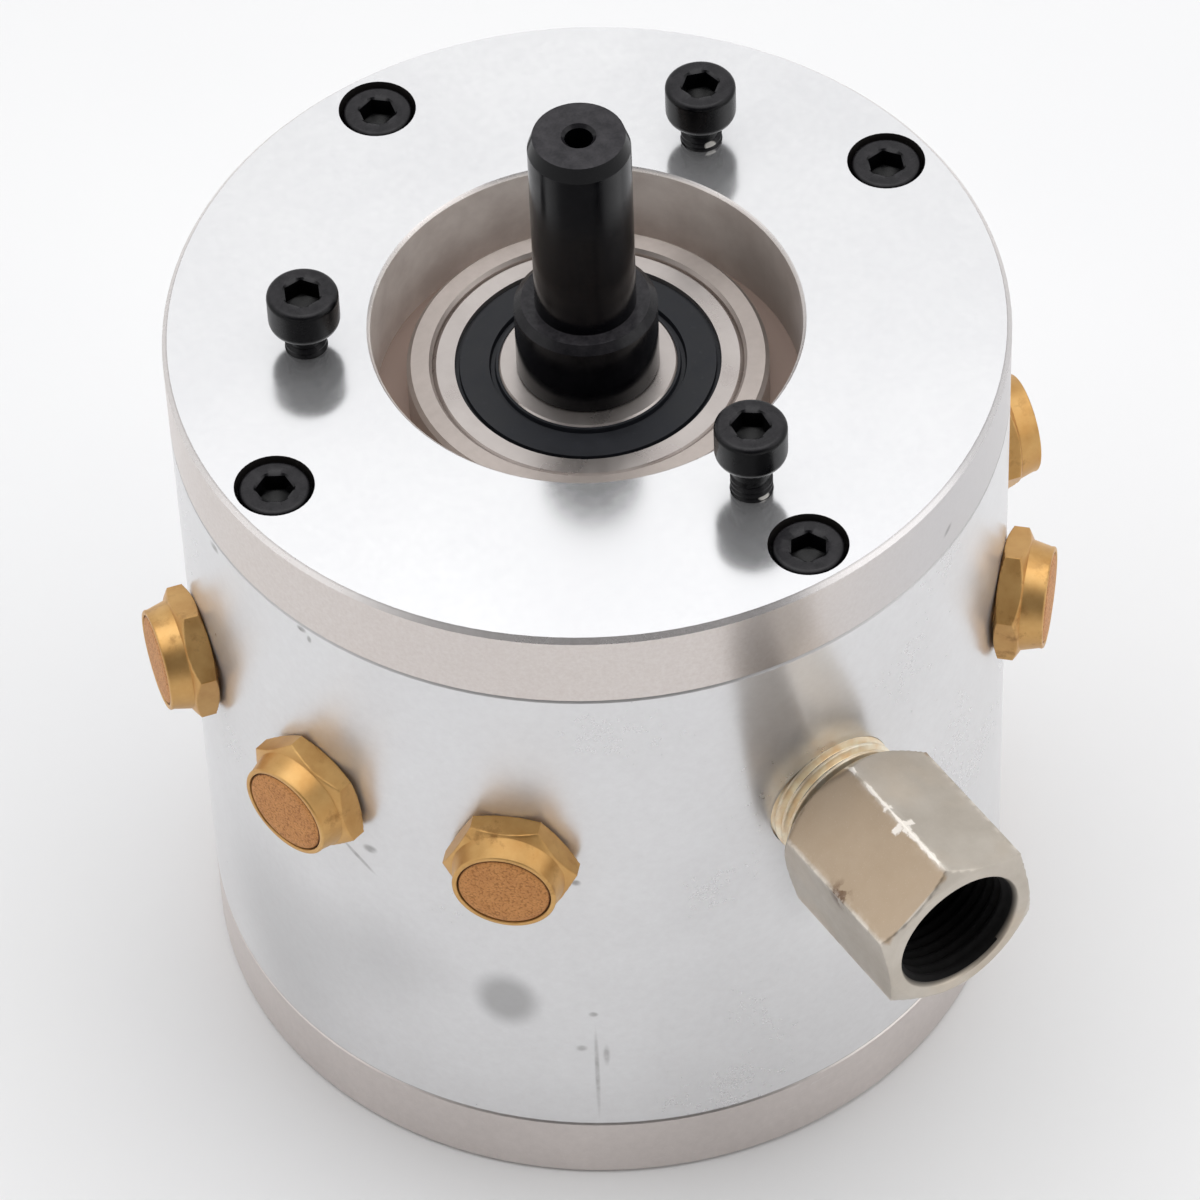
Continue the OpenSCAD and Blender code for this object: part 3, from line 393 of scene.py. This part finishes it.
def nickel(name):
    """Satin nickel on brass, worn to a bright line along one corner and scarred on the next."""
    m = Mat(name)
    cloud = m.noise(110.0, 4.0, 0.6)
    fine = m.noise(900.0, 3.0, 0.6)
    ragged = m.ramp(m.noise(800.0, 3.0), 0.3, 0.7, -0.14, 0.14)
    across = m.math("ABSOLUTE", m.math("ADD", m.attribute("across"), ragged))
    along = m.math("ADD", m.attribute("along"), m.times(ragged, 2.0))

    def mark(centre, half_long, half_wide):
        off = m.math("ABSOLUTE", m.math("SUBTRACT", along, centre))
        long_way = m.ramp(off, half_long + 0.1, half_long - 0.1)
        return m.times(long_way, m.ramp(across, half_wide + 0.1, half_wide - 0.1))

    bare = m.times(m.ramp(across, 0.3, 0.15), m.ramp(m.noise(420.0, 1.0), 0.36, 0.42))
    for size in ((13.2, 0.35, 0.55), (16.1, 0.4, 1.4), (17.0, 0.5, 0.5), (20.0, 2.4, 0.3)):
        bare = m.math("MAXIMUM", bare, mark(*size))
    # Wear and painted highlight: all hexagon corners are painted near white, partly rubbed wear and
    # partly a painted highlight
    rub = m.times(m.attribute("edge_wear_and_highlight"), m.ramp(m.noise(700.0, 3.0), 0.42, 0.6), 0.5)
    scratch = m.scratches(0.005, 0.00012, 0.25, [(0.7, 0.3, 0.2), (0.1, 1.2, 0.9), (1.4, 0.2, 1.8)])
    scar = m.times(m.attribute("scar"), m.ramp(m.noise(620.0, 3.0), 0.44, 0.52))
    stain = m.ramp(m.noise(70.0, 3.0), 0.5, 0.7)
    color = m.mix(m.ramp(cloud, 0.3, 0.7), srgb(184, 175, 163), srgb(204, 196, 185))
    color = m.mix(m.times(stain, 0.35), color, srgb(202, 180, 152))
    # Painted shade: one face of the hexagon is painted darker and browner
    color = m.mix(m.times(m.attribute("tan"), 0.75), color, srgb(180, 156, 128))
    color = m.mix(m.times(scratch, 0.2), color, srgb(226, 218, 206))
    color = m.mix(m.times(scar, 0.85), color, srgb(96, 66, 44))
    patches = m.ramp(m.noise(500.0, 3.0), 0.35, 0.65)
    thread_brass = m.mix(patches, srgb(240, 214, 176), srgb(255, 246, 224))
    color = m.mix(m.attribute("brassy"), color, thread_brass)
    # Bare worn metal along one corner, and a painted highlight along all corners
    color = m.mix(m.math("MAXIMUM", bare, rub), color, srgb(254, 247, 238))
    # Painted shade: the bore and its thread are painted black, rough and not metallic
    color = m.mix(m.attribute("dark"), color, srgb(3, 1, 1))
    value = m.math("ADD", m.ramp(fine, 0.3, 0.7, 0.32, 0.42), m.times(bare, 0.1))
    value = m.math("ADD", value, m.times(m.attribute("dark"), 0.6))
    cut = m.math("ADD", m.times(scratch, 0.5), m.times(bare, 1.5))
    height = m.math("SUBTRACT", m.times(fine, 0.4), cut)
    metallic = m.math("SUBTRACT", 0.85, m.times(m.attribute("dark"), 0.85))
    return m.done(color, value, m.bump(height, 0.00003, 0.35, 0.22 * MM), metallic)


def brass(name):
    """Turned brass, warm, with brown stains in patches."""
    m = Mat(name, 0.82)
    cloud = m.noise(240.0, 4.0, 0.6)
    fine, broad = m.noise(380.0, 5.0, 0.65), m.noise(70.0, 2.0)
    stain = m.times(m.ramp(fine, 0.55, 0.7), m.ramp(broad, 0.42, 0.6))
    color = m.mix(m.ramp(cloud, 0.3, 0.7), srgb(198, 150, 88), srgb(218, 176, 114))
    color = m.mix(m.times(stain, 0.5), color, srgb(122, 78, 38))
    value = m.math("ADD", m.ramp(cloud, 0.3, 0.7, 0.34, 0.44), m.times(stain, 0.15))
    return m.done(color, value, m.bump(m.noise(1500.0, 3.0), 0.00001, 0.5, 0.18 * MM))


def sintered(name):
    """Sintered bronze: small fused grains, darker pores, and a dark line of painted shade along the
    lip.
    """
    m = Mat(name, 0.35)
    near = m.cells(3600.0)
    grain = m.ramp(near["Distance"], 0.75, 0.1)
    hue = m.node("ShaderNodeSeparateColor", {0: near["Color"]}).outputs[0]
    color = m.mix(m.times(hue, 0.6), srgb(198, 136, 74), srgb(218, 158, 94))
    cloud = m.ramp(m.noise(520.0, 4.0, 0.65), 0.4, 0.75, 0.0, 0.35)
    color = m.mix(cloud, color, srgb(168, 104, 50))
    color = m.mix(m.ramp(grain, 0.25, 0.0, 0.0, 0.5), color, srgb(134, 82, 40))
    # Painted shade: the disc's edge by the lip is painted dark brown
    color = m.mix(m.ramp(m.attribute("rim"), 0.6, 0.95), color, srgb(66, 32, 12))
    return m.done(color, m.ramp(grain, 0.0, 1.0, 0.65, 0.45), m.bump(grain, 0.00005, 0.5))


MATS = {
    "cover": aluminium("cover_aluminium", srgb(240, 240, 241), srgb(232, 232, 234), 0.15,
                       cover_finish_and_painted_shade),
    "body": aluminium("body_aluminium", srgb(234, 234, 235), srgb(222, 221, 222), 0.29,
                      body_marks_and_painted_shade, metallic=0.75),
    "rear": aluminium("rear_aluminium", srgb(222, 214, 210), srgb(206, 198, 194), 0.32, worn=True),
    "plate": aluminium("plate_aluminium", srgb(188, 178, 172), srgb(170, 160, 154), 0.34,
                       plate_finish),
    "shaft": black_oxide("shaft_black_oxide", (5, 5, 8), 0.17, 0.9),
    "screw": black_oxide("screw_black_oxide", (7, 7, 9), 0.26, 0.5,
                         [chip_place(*chip) for chip in CHIPS]),
    "clip": black_oxide("clip_black_oxide", (34, 34, 36), 0.35),
    "bearing": bearing_steel("bearing_steel"),
    "ball": plain_metal("ball_steel", srgb(236, 236, 238), srgb(222, 222, 226), 0.1,
                        1.0, 90.0, 0.000003),
    "cage": plain_metal("cage_brass", srgb(214, 176, 104), srgb(190, 150, 84), 0.3),
    "rubber": rubber("seal_rubber", (24, 26, 32)),
    "iron": plain_metal("block_iron", srgb(120, 120, 122), srgb(92, 92, 95), 0.45,
                        0.9, 240.0, 0.00003),
    "gear": plain_metal("gear_steel", srgb(176, 178, 182), srgb(150, 152, 157), 0.26),
    "bronze": plain_metal("bush_bronze", srgb(196, 144, 92), srgb(164, 112, 66), 0.42,
                          0.9, 500.0, 0.00003),
    "nickel": nickel("fitting_nickel"),
    "brass": brass("silencer_brass"),
    "disc": sintered("disc_bronze"),
}
NODE_MATS = {
    "cover": ["front_cover"],
    "body": ["motor_body"],
    "rear": ["rear_cover"],
    "plate": ["front_end_plate", "rear_end_plate"],
    "iron": ["chamber_block"],
    "shaft": ["output_shaft"],
    "gear": ["drive_gear", "idler_gear", "drive_key", "idler_shaft", "dowel_pins"],
    "clip": ["front_retaining_ring", "rear_retaining_ring"],
    "bearing": ["front_bearing_outer_ring", "front_bearing_inner_ring",
                "rear_bearing_outer_ring", "rear_bearing_inner_ring"],
    "ball": ["front_bearing_balls", "rear_bearing_balls"],
    "cage": ["front_bearing_cage", "rear_bearing_cage"],
    "rubber": ["front_bearing_seals", "shaft_lip_seal", "front_ring_seal", "rear_ring_seal"],
    "bronze": ["idler_bushes"],
    "screw": ["front_cover_screws", "rear_cover_screws", "mounting_screws"],
    "nickel": ["inlet_fitting"],
    "brass": ["silencer_bodies"],
    "disc": ["silencer_discs"],
}
for key, names in NODE_MATS.items():
    for name in names:
        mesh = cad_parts[name].data
        mesh.materials.clear()
        mesh.materials.append(MATS[key])


# Mesh helpers. Pieces are drawn in millimetres along +Z and placed by a matrix.
def steps(count):
    return [2 * math.pi * i / count for i in range(count)]


def circle(radius, height, count):
    return [Vector((radius * math.cos(a), radius * math.sin(a), height)) for a in steps(count)]


def hexagon(across, height, count, cone=None):
    """A hexagon outline with a corner on +X; cone limits its radius, as a turned chamfer does."""
    ring = []
    for a in steps(count):
        off = (a % (math.pi / 3)) - math.pi / 6
        r = across / 2 / math.cos(off)
        out = Vector((math.cos(a), math.sin(a), 0)) * (min(r, cone) if cone else r)
        ring.append(out + Vector((0, 0, height)))
    return ring


def chamfered(across, low, high, flat, count, levels=6):
    """Hexagon outlines from height low to high, whose radius grows from flat to the corners."""
    corner = across / math.sqrt(3)
    rings = []
    for k in range(levels + 1):
        share = k / levels
        cone = flat + (corner - flat) * share + 0.01
        rings.append(hexagon(across, low + (high - low) * share, count, cone))
    return rings


def loft(rings, cap_start=True, cap_end=True):
    """Vertices and faces of a skin through rings of equal count."""
    count = len(rings[0])
    verts = [v for ring in rings for v in ring]
    faces = []
    for k in range(len(rings) - 1):
        a, b = k * count, (k + 1) * count
        for i in range(count):
            j = (i + 1) % count
            faces.append((a + i, a + j, b + j, b + i))
    ends = ((cap_start, rings[0], 0, True), (cap_end, rings[-1], (len(rings) - 1) * count, False))
    for cap, ring, base, flip in ends:
        if cap:
            middle = len(verts)
            verts.append(sum(ring, Vector()) / count)
            for i in range(count):
                a, b = base + i, base + (i + 1) % count
                faces.append((middle, b, a) if flip else (middle, a, b))
    return verts, faces


def arc(cx, cz, radius, start, end, count=5):
    """Points of a fillet in the plane of radius and height."""
    turns = [math.radians(start + (end - start) * i / count) for i in range(count + 1)]
    return [(cx + radius * math.cos(a), cz + radius * math.sin(a)) for a in turns]


def thread(core, crest, pitch, low, high, count=48, flat=0.18):
    """A helical ridge from low to high that grows out of its core at both ends.

    count is its steps in a turn, and flat is the width of its crest as a share of the pitch.
    """
    total = int((high - low) / pitch * count)
    profile = ((-0.5, 0.0), (-flat / 2, 1.0), (flat / 2, 1.0), (0.5, 0.0))
    verts, faces = [], []
    for i in range(total + 1):
        a = 2 * math.pi * i / count
        z = low + (high - low) * i / total
        grow = min(1.0, i / (count * 0.2), (total - i) / (count * 0.2))
        for offset, rise in profile:
            r = core + (crest - core) * rise * grow
            verts.append(Vector((r * math.cos(a), r * math.sin(a), z + offset * pitch)))
        if i:
            k = (i - 1) * len(profile)
            faces += [(k + j, k + 4 + j, k + 5 + j, k + 1 + j) for j in range(3)]
    return verts, faces


def turned_over(faces):
    return [tuple(reversed(face)) for face in faces]


def build(name, parts, mat, node, attributes=(), sharp=32.0):
    """One object from (verts, faces, matrix, values) parts.

    It rides on the housing and stands for a node of the part. attributes names the values that
    its material reads, and sharp is the angle from which an edge isn't smoothed.
    """
    mesh = bpy.data.meshes.new(name)
    verts, faces, values = [], [], {key: [] for key in attributes}
    for part_verts, part_faces, place, given in parts:
        base = len(verts)
        verts += [tuple((place @ v) * MM) for v in part_verts]
        faces += [tuple(base + i for i in face) for face in part_faces]
        for key in attributes:
            values[key] += given.get(key) or [0.0] * len(part_verts)
    mesh.from_pydata(verts, [], faces)
    for key, data in values.items():
        mesh.attributes.new(key, "FLOAT", "POINT").data.foreach_set("value", data)
    mesh.validate()
    mesh.shade_smooth()
    mesh.set_sharp_from_angle(angle=math.radians(sharp))
    mesh.materials.append(mat)
    made = bpy.data.objects.new(name, mesh)
    bpy.context.scene.collection.objects.link(made)
    weighted = made.modifiers.new("flat_faces", "WEIGHTED_NORMAL")
    weighted.keep_sharp = True
    weighted.weight = 90
    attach(made, "housing")
    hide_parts(node)


def spun(degrees):
    return Matrix.Rotation(math.radians(degrees), 4, "Z")


def about(angle, radius, height):
    """Place of a piece drawn along +Z, standing at an angle round the motor."""
    return spun(angle) @ Matrix.Translation((radius, 0, height))


def outward(angle, radius, height, turn):
    """Place of a piece drawn along +Z, laid along the radius at an angle and a height."""
    laid = Matrix.Rotation(math.radians(90), 4, "Y")
    return about(angle, radius, height) @ (laid @ spun(90 + turn))


def socket_screw(place, length, free, sides=72):
    """Socket head screw with its seat at z = 0: head, socket, and thread below the free length."""
    half, floor, corner = HEAD_D / 2, HEAD_H - SOCKET_DEPTH, SOCKET_AF / math.sqrt(3)
    outline = [(THREAD_CORE_R, SEAT_GAP)]
    for r, z in arc(half - HEAD_FOOT_W, 0, HEAD_FOOT_W, -90, 0, 6):
        outline.append((r, SEAT_GAP + (z + HEAD_FOOT_W) * HEAD_FOOT_H / HEAD_FOOT_W))
    outline += arc(half - HEAD_ROUND, HEAD_H - HEAD_ROUND, HEAD_ROUND, 0, 90, 7)
    rings = [circle(r, z, sides) for r, z in outline]
    rings.append(circle(corner + SOCKET_RIM_W, HEAD_H, sides))
    rings.append(hexagon(SOCKET_AF, HEAD_H - SOCKET_RIM_H, sides))
    rings.append(hexagon(SOCKET_AF, floor, sides))
    # The drill point under the socket
    rings.append(circle(SOCKET_AF * 0.45, floor - 0.05, sides))
    rings.append(circle(0.2, floor - 0.9, sides))
    plain = -free * 0.45
    shank = [(SHANK_R, 0.05), (SHANK_R, plain), (THREAD_CORE_R, plain - 0.25),
             (THREAD_CORE_R, 0.5 - length), (SHANK_TIP_R, -length)]
    shank_rings = [circle(r, z, 48) for r, z in shank]
    ridge = thread(THREAD_CORE_R - 0.02, THREAD_R, THREAD_PITCH, 0.9 - length, plain - 0.7)
    head = loft(rings, False)
    # The socket's inside is marked here to be painted nearly black, as painted shade
    deep = []
    for v in head[0]:
        in_socket = math.hypot(v.x, v.y) < corner + 0.05 and 1.0 < v.z < HEAD_H - 0.5
        deep.append(0.9 if in_socket else 0.0)
    return [(*head, place, {"deep": deep}),
            (*loft(shank_rings, False), place, {}),
            (*ridge, place, {})]


front_screws, rear_screws, mount_screws = [], [], []
for i in range(4):
    angle = INLET_ANGLE + COVER_CLOCK + 90 * i
    spin = spun(COVER_SPIN + COVER_SPIN_STEP * i)
    upright = about(angle, COVER_SCREW_R, FACE_Z - HEAD_SINK - HEAD_H)
    front_screws += socket_screw(upright @ spin, COVER_SCREW_LEN, COVER_FREE)
    upside_down = about(angle, COVER_SCREW_R, HEAD_SINK + HEAD_H) @ Matrix.Rotation(math.pi, 4, "X")
    rear_screws += socket_screw(upside_down @ spin, COVER_SCREW_LEN, COVER_FREE)
for i, lift in enumerate(MOUNT_LIFTS):
    place = about(INLET_ANGLE + COVER_CLOCK + 120 * i, MOUNT_SCREW_R, FACE_Z + lift)
    mount_screws += socket_screw(place @ spun(MOUNT_SPINS[i]), MOUNT_SCREW_LEN, lift)
for node, screws in (("front_cover_screws", front_screws), ("rear_cover_screws", rear_screws),
                     ("mounting_screws", mount_screws)):
    build(node + "_threaded", screws, MATS["screw"], node, ["deep"])


def silencer_shell(place, sides=144):
    """Brass shell: tail, chamfered hexagon and collar, rolled in over the disc."""
    rings = [circle(SILENCER_TAIL_R, z, sides) for z in (SILENCER_TAIL, 0.0)]
    rings += chamfered(SILENCER_AF, 0.0, 0.5, 6.85, sides, 4)
    rings += reversed(chamfered(SILENCER_AF, 3.1, 2.35, 6.78, sides))
    outline = [(6.72, 3.12), (6.7, 3.3), (6.2, 5.35)] + arc(5.95, 5.6, 0.28, 10, 100, 5)
    outline += [(5.66, 5.86), (5.6, 5.75), (5.6, 4.6), (3.2, 4.55)]
    rings += [circle(r, z, sides) for r, z in outline]
    return (*loft(rings, cap_end=False), place, {})


def silencer_disc(place, sides=96):
    """Slightly domed disc; rim, the share of painted shade along the lip, grows to 1 at its edge.
    """
    outline = [(5.58, 4.7), (5.58, 5.5), (5.42, 5.74), (5.08, 5.9),
               (4.4, 5.97), (3.2, 6.0), (1.6, 6.02), (0.4, 6.03)]
    verts, faces = loft([circle(r, z, sides) for r, z in outline], cap_start=False)
    # Where the disc's edge is painted dark, as painted shade by the lip
    rim = [max(0.0, min(1.0, (math.hypot(v.x, v.y) - 5.0) / 0.5)) for v in verts]
    return verts, faces, place, {"rim": rim}


shells, discs = [], []
for side in (-1, 1):
    for i in range(SILENCERS_PER_SIDE):
        angle = INLET_ANGLE + side * (SILENCER_START + SILENCER_PITCH * i)
        turn = SILENCER_TURN + side * (SILENCER_SPLIT + SILENCER_STEP * i)
        place = outward(angle, BODY_R, SILENCER_Z, turn)
        shells.append(silencer_shell(place))
        discs.append(silencer_disc(place))
build("silencer_bodies_turned", shells, MATS["brass"], "silencer_bodies")
build("silencer_discs_sintered", discs, MATS["disc"], "silencer_discs", ["rim"], 60)


# What the fitting's material reads at each of its points
INLET_MARKS = ["edge_wear_and_highlight", "brassy", "across", "along", "dark", "scar", "tan"]
OFF_LINE = 9.0  # across, where a point isn't near the worn corner
BRASSY = 0.85  # brassy, where the thread and the neck are bare


def inlet_shell(place, sides=144):
    """Hexagon adapter with its open end at INLET_END.

    Its many rings carry the marks: across and along place those of the worn corner.
    """
    end = INLET_END
    tail = [(INLET_BORE_R, INLET_TAIL), (7.2, INLET_TAIL), (INLET_TAIL_R, INLET_TAIL + 0.4),
            (INLET_TAIL_R, INLET_NECK), (INLET_FACE_R, INLET_NECK)]
    rings = [circle(r, z, sides) for r, z in tail]
    rings += chamfered(INLET_AF, INLET_NECK, INLET_NECK + 1.7, 9.78, sides)
    for k in range(INLET_RINGS):
        rings.append(hexagon(INLET_AF, INLET_RINGS_FROM + INLET_RINGS_STEP * k, sides))
    rings += reversed(chamfered(INLET_AF, end, end - 0.95, 9.72, sides, 5))
    outline = [(9.62, end), (8.42, end)] + arc(8.42, end - 0.12, 0.12, 90, 150, 3)
    outline += [(7.95, end - 0.8), (7.95, end - 3), (7.95, end - 12),
                (INLET_BORE_R, end - 12.6), (INLET_BORE_R, INLET_TAIL)]
    rings += [circle(r, z, sides) for r, z in outline]
    verts, faces = loft(rings, False, False)
    values = {key: [] for key in INLET_MARKS}
    corner, worn_from = INLET_AF / math.sqrt(3), 11.2
    for v in verts:
        r, turn = math.hypot(v.x, v.y), math.atan2(v.y, v.x)
        outer = r > 9.5 and v.z > INLET_NECK
        from_worn, from_scarred = [abs(math.remainder(turn - math.radians(a), 2 * math.pi))
                                   for a in (WORN_CORNER, SCARRED_CORNER)]
        lined = outer and v.z < end - 0.9
        between = max(from_worn, from_scarred) < math.radians(59)
        scar = math.hypot(r * math.sin(min(from_scarred, math.pi / 3)) / 1.3,
                          (v.z - SCAR_ALONG) / 1.2)
        marks = {
            "across": r * math.sin(min(from_worn, math.pi / 3)) if lined else OFF_LINE,
            "along": v.z,
            # Painted shade on the face between the worn and the scarred corner
            "tan": 1.0 if outer and v.z < end - 0.5 and between else 0.0,
            # Corner wear and painted highlight, 1 at the hexagon's corners
            "edge_wear_and_highlight": max(0.0, (r - worn_from) / (corner - worn_from)) if outer else 0.0,
            "brassy": BRASSY if v.z < INLET_NECK - 0.05 and r > 7 else 0.0,
            # Painted shade: the bore is painted black
            "dark": 1.0 if r < 8 and v.z < end - 0.7 else 0.0,
            "scar": max(0.0, min(1.0, 1.6 - scar)) if outer else 0.0,
        }
        for key, value in marks.items():
            values[key].append(value)
    return verts, faces, place, values


inlet_place = outward(INLET_ANGLE, BODY_R, INLET_Z, INLET_TURN)
male = thread(MALE_CORE_R, MALE_R, INLET_PITCH, -8.4, 3.9, 96, 0.22)
female = thread(FEMALE_ROOT_R, FEMALE_R, INLET_PITCH, 14.2, 24.6, 96, 0.22)
male_marks = {"brassy": [BRASSY] * len(male[0]), "across": [OFF_LINE] * len(male[0])}
# The female thread is painted black too, as painted shade
female_marks = {"dark": [1.0] * len(female[0]), "across": [OFF_LINE] * len(female[0])}
inlet_parts = [
    inlet_shell(inlet_place),
    (*male, inlet_place, male_marks),
    (female[0], turned_over(female[1]), inlet_place, female_marks),
]
build("inlet_fitting_threaded", inlet_parts, MATS["nickel"], "inlet_fitting",
      INLET_MARKS, 30)


# Floor, light and camera. The camera comes from a fit to the photograph: its axes, its place in
# body radii from the middle of the front face, and its focal length in pixels.
VIEW_TURN = -32.1
CAMERA_RIGHT = (0.999102, -0.032034, -0.027731)
CAMERA_UP = (0.042369, 0.751351, 0.658541)
CAMERA_LOOK = (0.00026, 0.659124, -0.752034)
CAMERA_PLACE = (0.0, -11.034134, 11.589246)
FOCAL_PX, PHOTO_PX, SENSOR_MM = 6799.59, 1200, 36.0
LAMP_TARGET = (0, 0, 0.06)
view = Matrix.Rotation(math.radians(VIEW_TURN), 3, "Z")

paper = Mat("floor_paper", 0.0, Specular_IOR_Level=0.3)
paper_cloud = paper.ramp(paper.noise(6.0, 3.0), 0.3, 0.7)
paper_color = paper.mix(paper_cloud, srgb(236, 236, 237), srgb(240, 240, 240))
floor_mesh = bpy.data.meshes.new("floor")
floor_mesh.from_pydata([(-3, -3, 0), (3, -3, 0), (3, 3, 0), (-3, 3, 0)], [], [(0, 1, 2, 3)])
floor_mesh.materials.append(paper.done(paper_color, 0.75))
floor_piece = bpy.data.objects.new("floor", floor_mesh)
bpy.context.scene.collection.objects.link(floor_piece)


def studio(low, high, dim, toward):
    """A pale room, brighter overhead than at the walls, with a dim side where the camera stands."""
    world = bpy.data.worlds.new("studio")
    bpy.context.scene.world = world
    world.use_nodes = True
    tree = world.node_tree
    place = tree.nodes.new("ShaderNodeTexCoord").outputs["Generated"]

    def blend(axis, start, end, first, second):
        """From first to second as a direction turns to the axis, between two cosines."""
        dot = add_node(tree, "ShaderNodeVectorMath", {0: place, 1: axis}, operation="DOT_PRODUCT")
        limits = {"Value": dot.outputs["Value"], "From Min": start, "From Max": end}
        spread = add_node(tree, "ShaderNodeMapRange", limits, interpolation_type="SMOOTHSTEP")
        inputs = {0: spread.outputs["Result"], 6: first, 7: second}
        return add_node(tree, "ShaderNodeMix", inputs, data_type="RGBA").outputs[2]

    walls = blend((0, 0, 1), 0.68, 0.78, low, high)
    room = blend(toward, 0.55, 0.9, walls, dim)
    tree.links.new(room, tree.nodes["Background"].inputs["Color"])


def lamp(name, turn, distance, height, size, level):
    """A softbox placed by its turn from the camera's side; level is its surface's brightness."""
    data = bpy.data.lights.new(name, "AREA")
    data.shape = "RECTANGLE"
    data.size, data.size_y = size
    data.energy = level * math.pi * size[0] * size[1]
    made = bpy.data.objects.new(name, data)
    a = math.radians(VIEW_TURN - 90 + turn)
    made.location = (distance * math.cos(a), distance * math.sin(a), height)
    aim = Vector(LAMP_TARGET) - made.location
    made.rotation_euler = aim.to_track_quat("-Z", "Y").to_euler()
    bpy.context.scene.collection.objects.link(made)


toward_camera = view @ Vector((0.0, -0.72, 0.69))
studio((0.84, 0.843, 0.847, 1), (1.27, 1.272, 1.278, 1), (0.12, 0.12, 0.125, 1),
       toward_camera)
lamp("ceiling_softbox", 0, 0.02, 1.05, (0.95, 0.95), 1.5)
lamp("left_softbox", -80, 1.0, 0.75, (0.8, 0.9), 0.26)
lamp("right_softbox", 75, 1.0, 0.7, (0.8, 0.9), 0.66)

camera = bpy.data.cameras.new("camera")
camera.sensor_width = SENSOR_MM
camera.lens = SENSOR_MM * FOCAL_PX / PHOTO_PX
camera.clip_start = 0.02
eye = bpy.data.objects.new("camera", camera)
right, up, look = [view @ Vector(axis) for axis in (CAMERA_RIGHT, CAMERA_UP, CAMERA_LOOK)]
stand = (view @ Vector(CAMERA_PLACE) * BODY_R + Vector((0, 0, FACE_Z))) * MM
eye.matrix_world = Matrix((
    (right.x, up.x, -look.x, stand.x),
    (right.y, up.y, -look.y, stand.y),
    (right.z, up.z, -look.z, stand.z),
    (0, 0, 0, 1),
))
bpy.context.scene.collection.objects.link(eye)
bpy.context.scene.camera = eye
bpy.context.scene.view_settings.view_transform = "Standard"
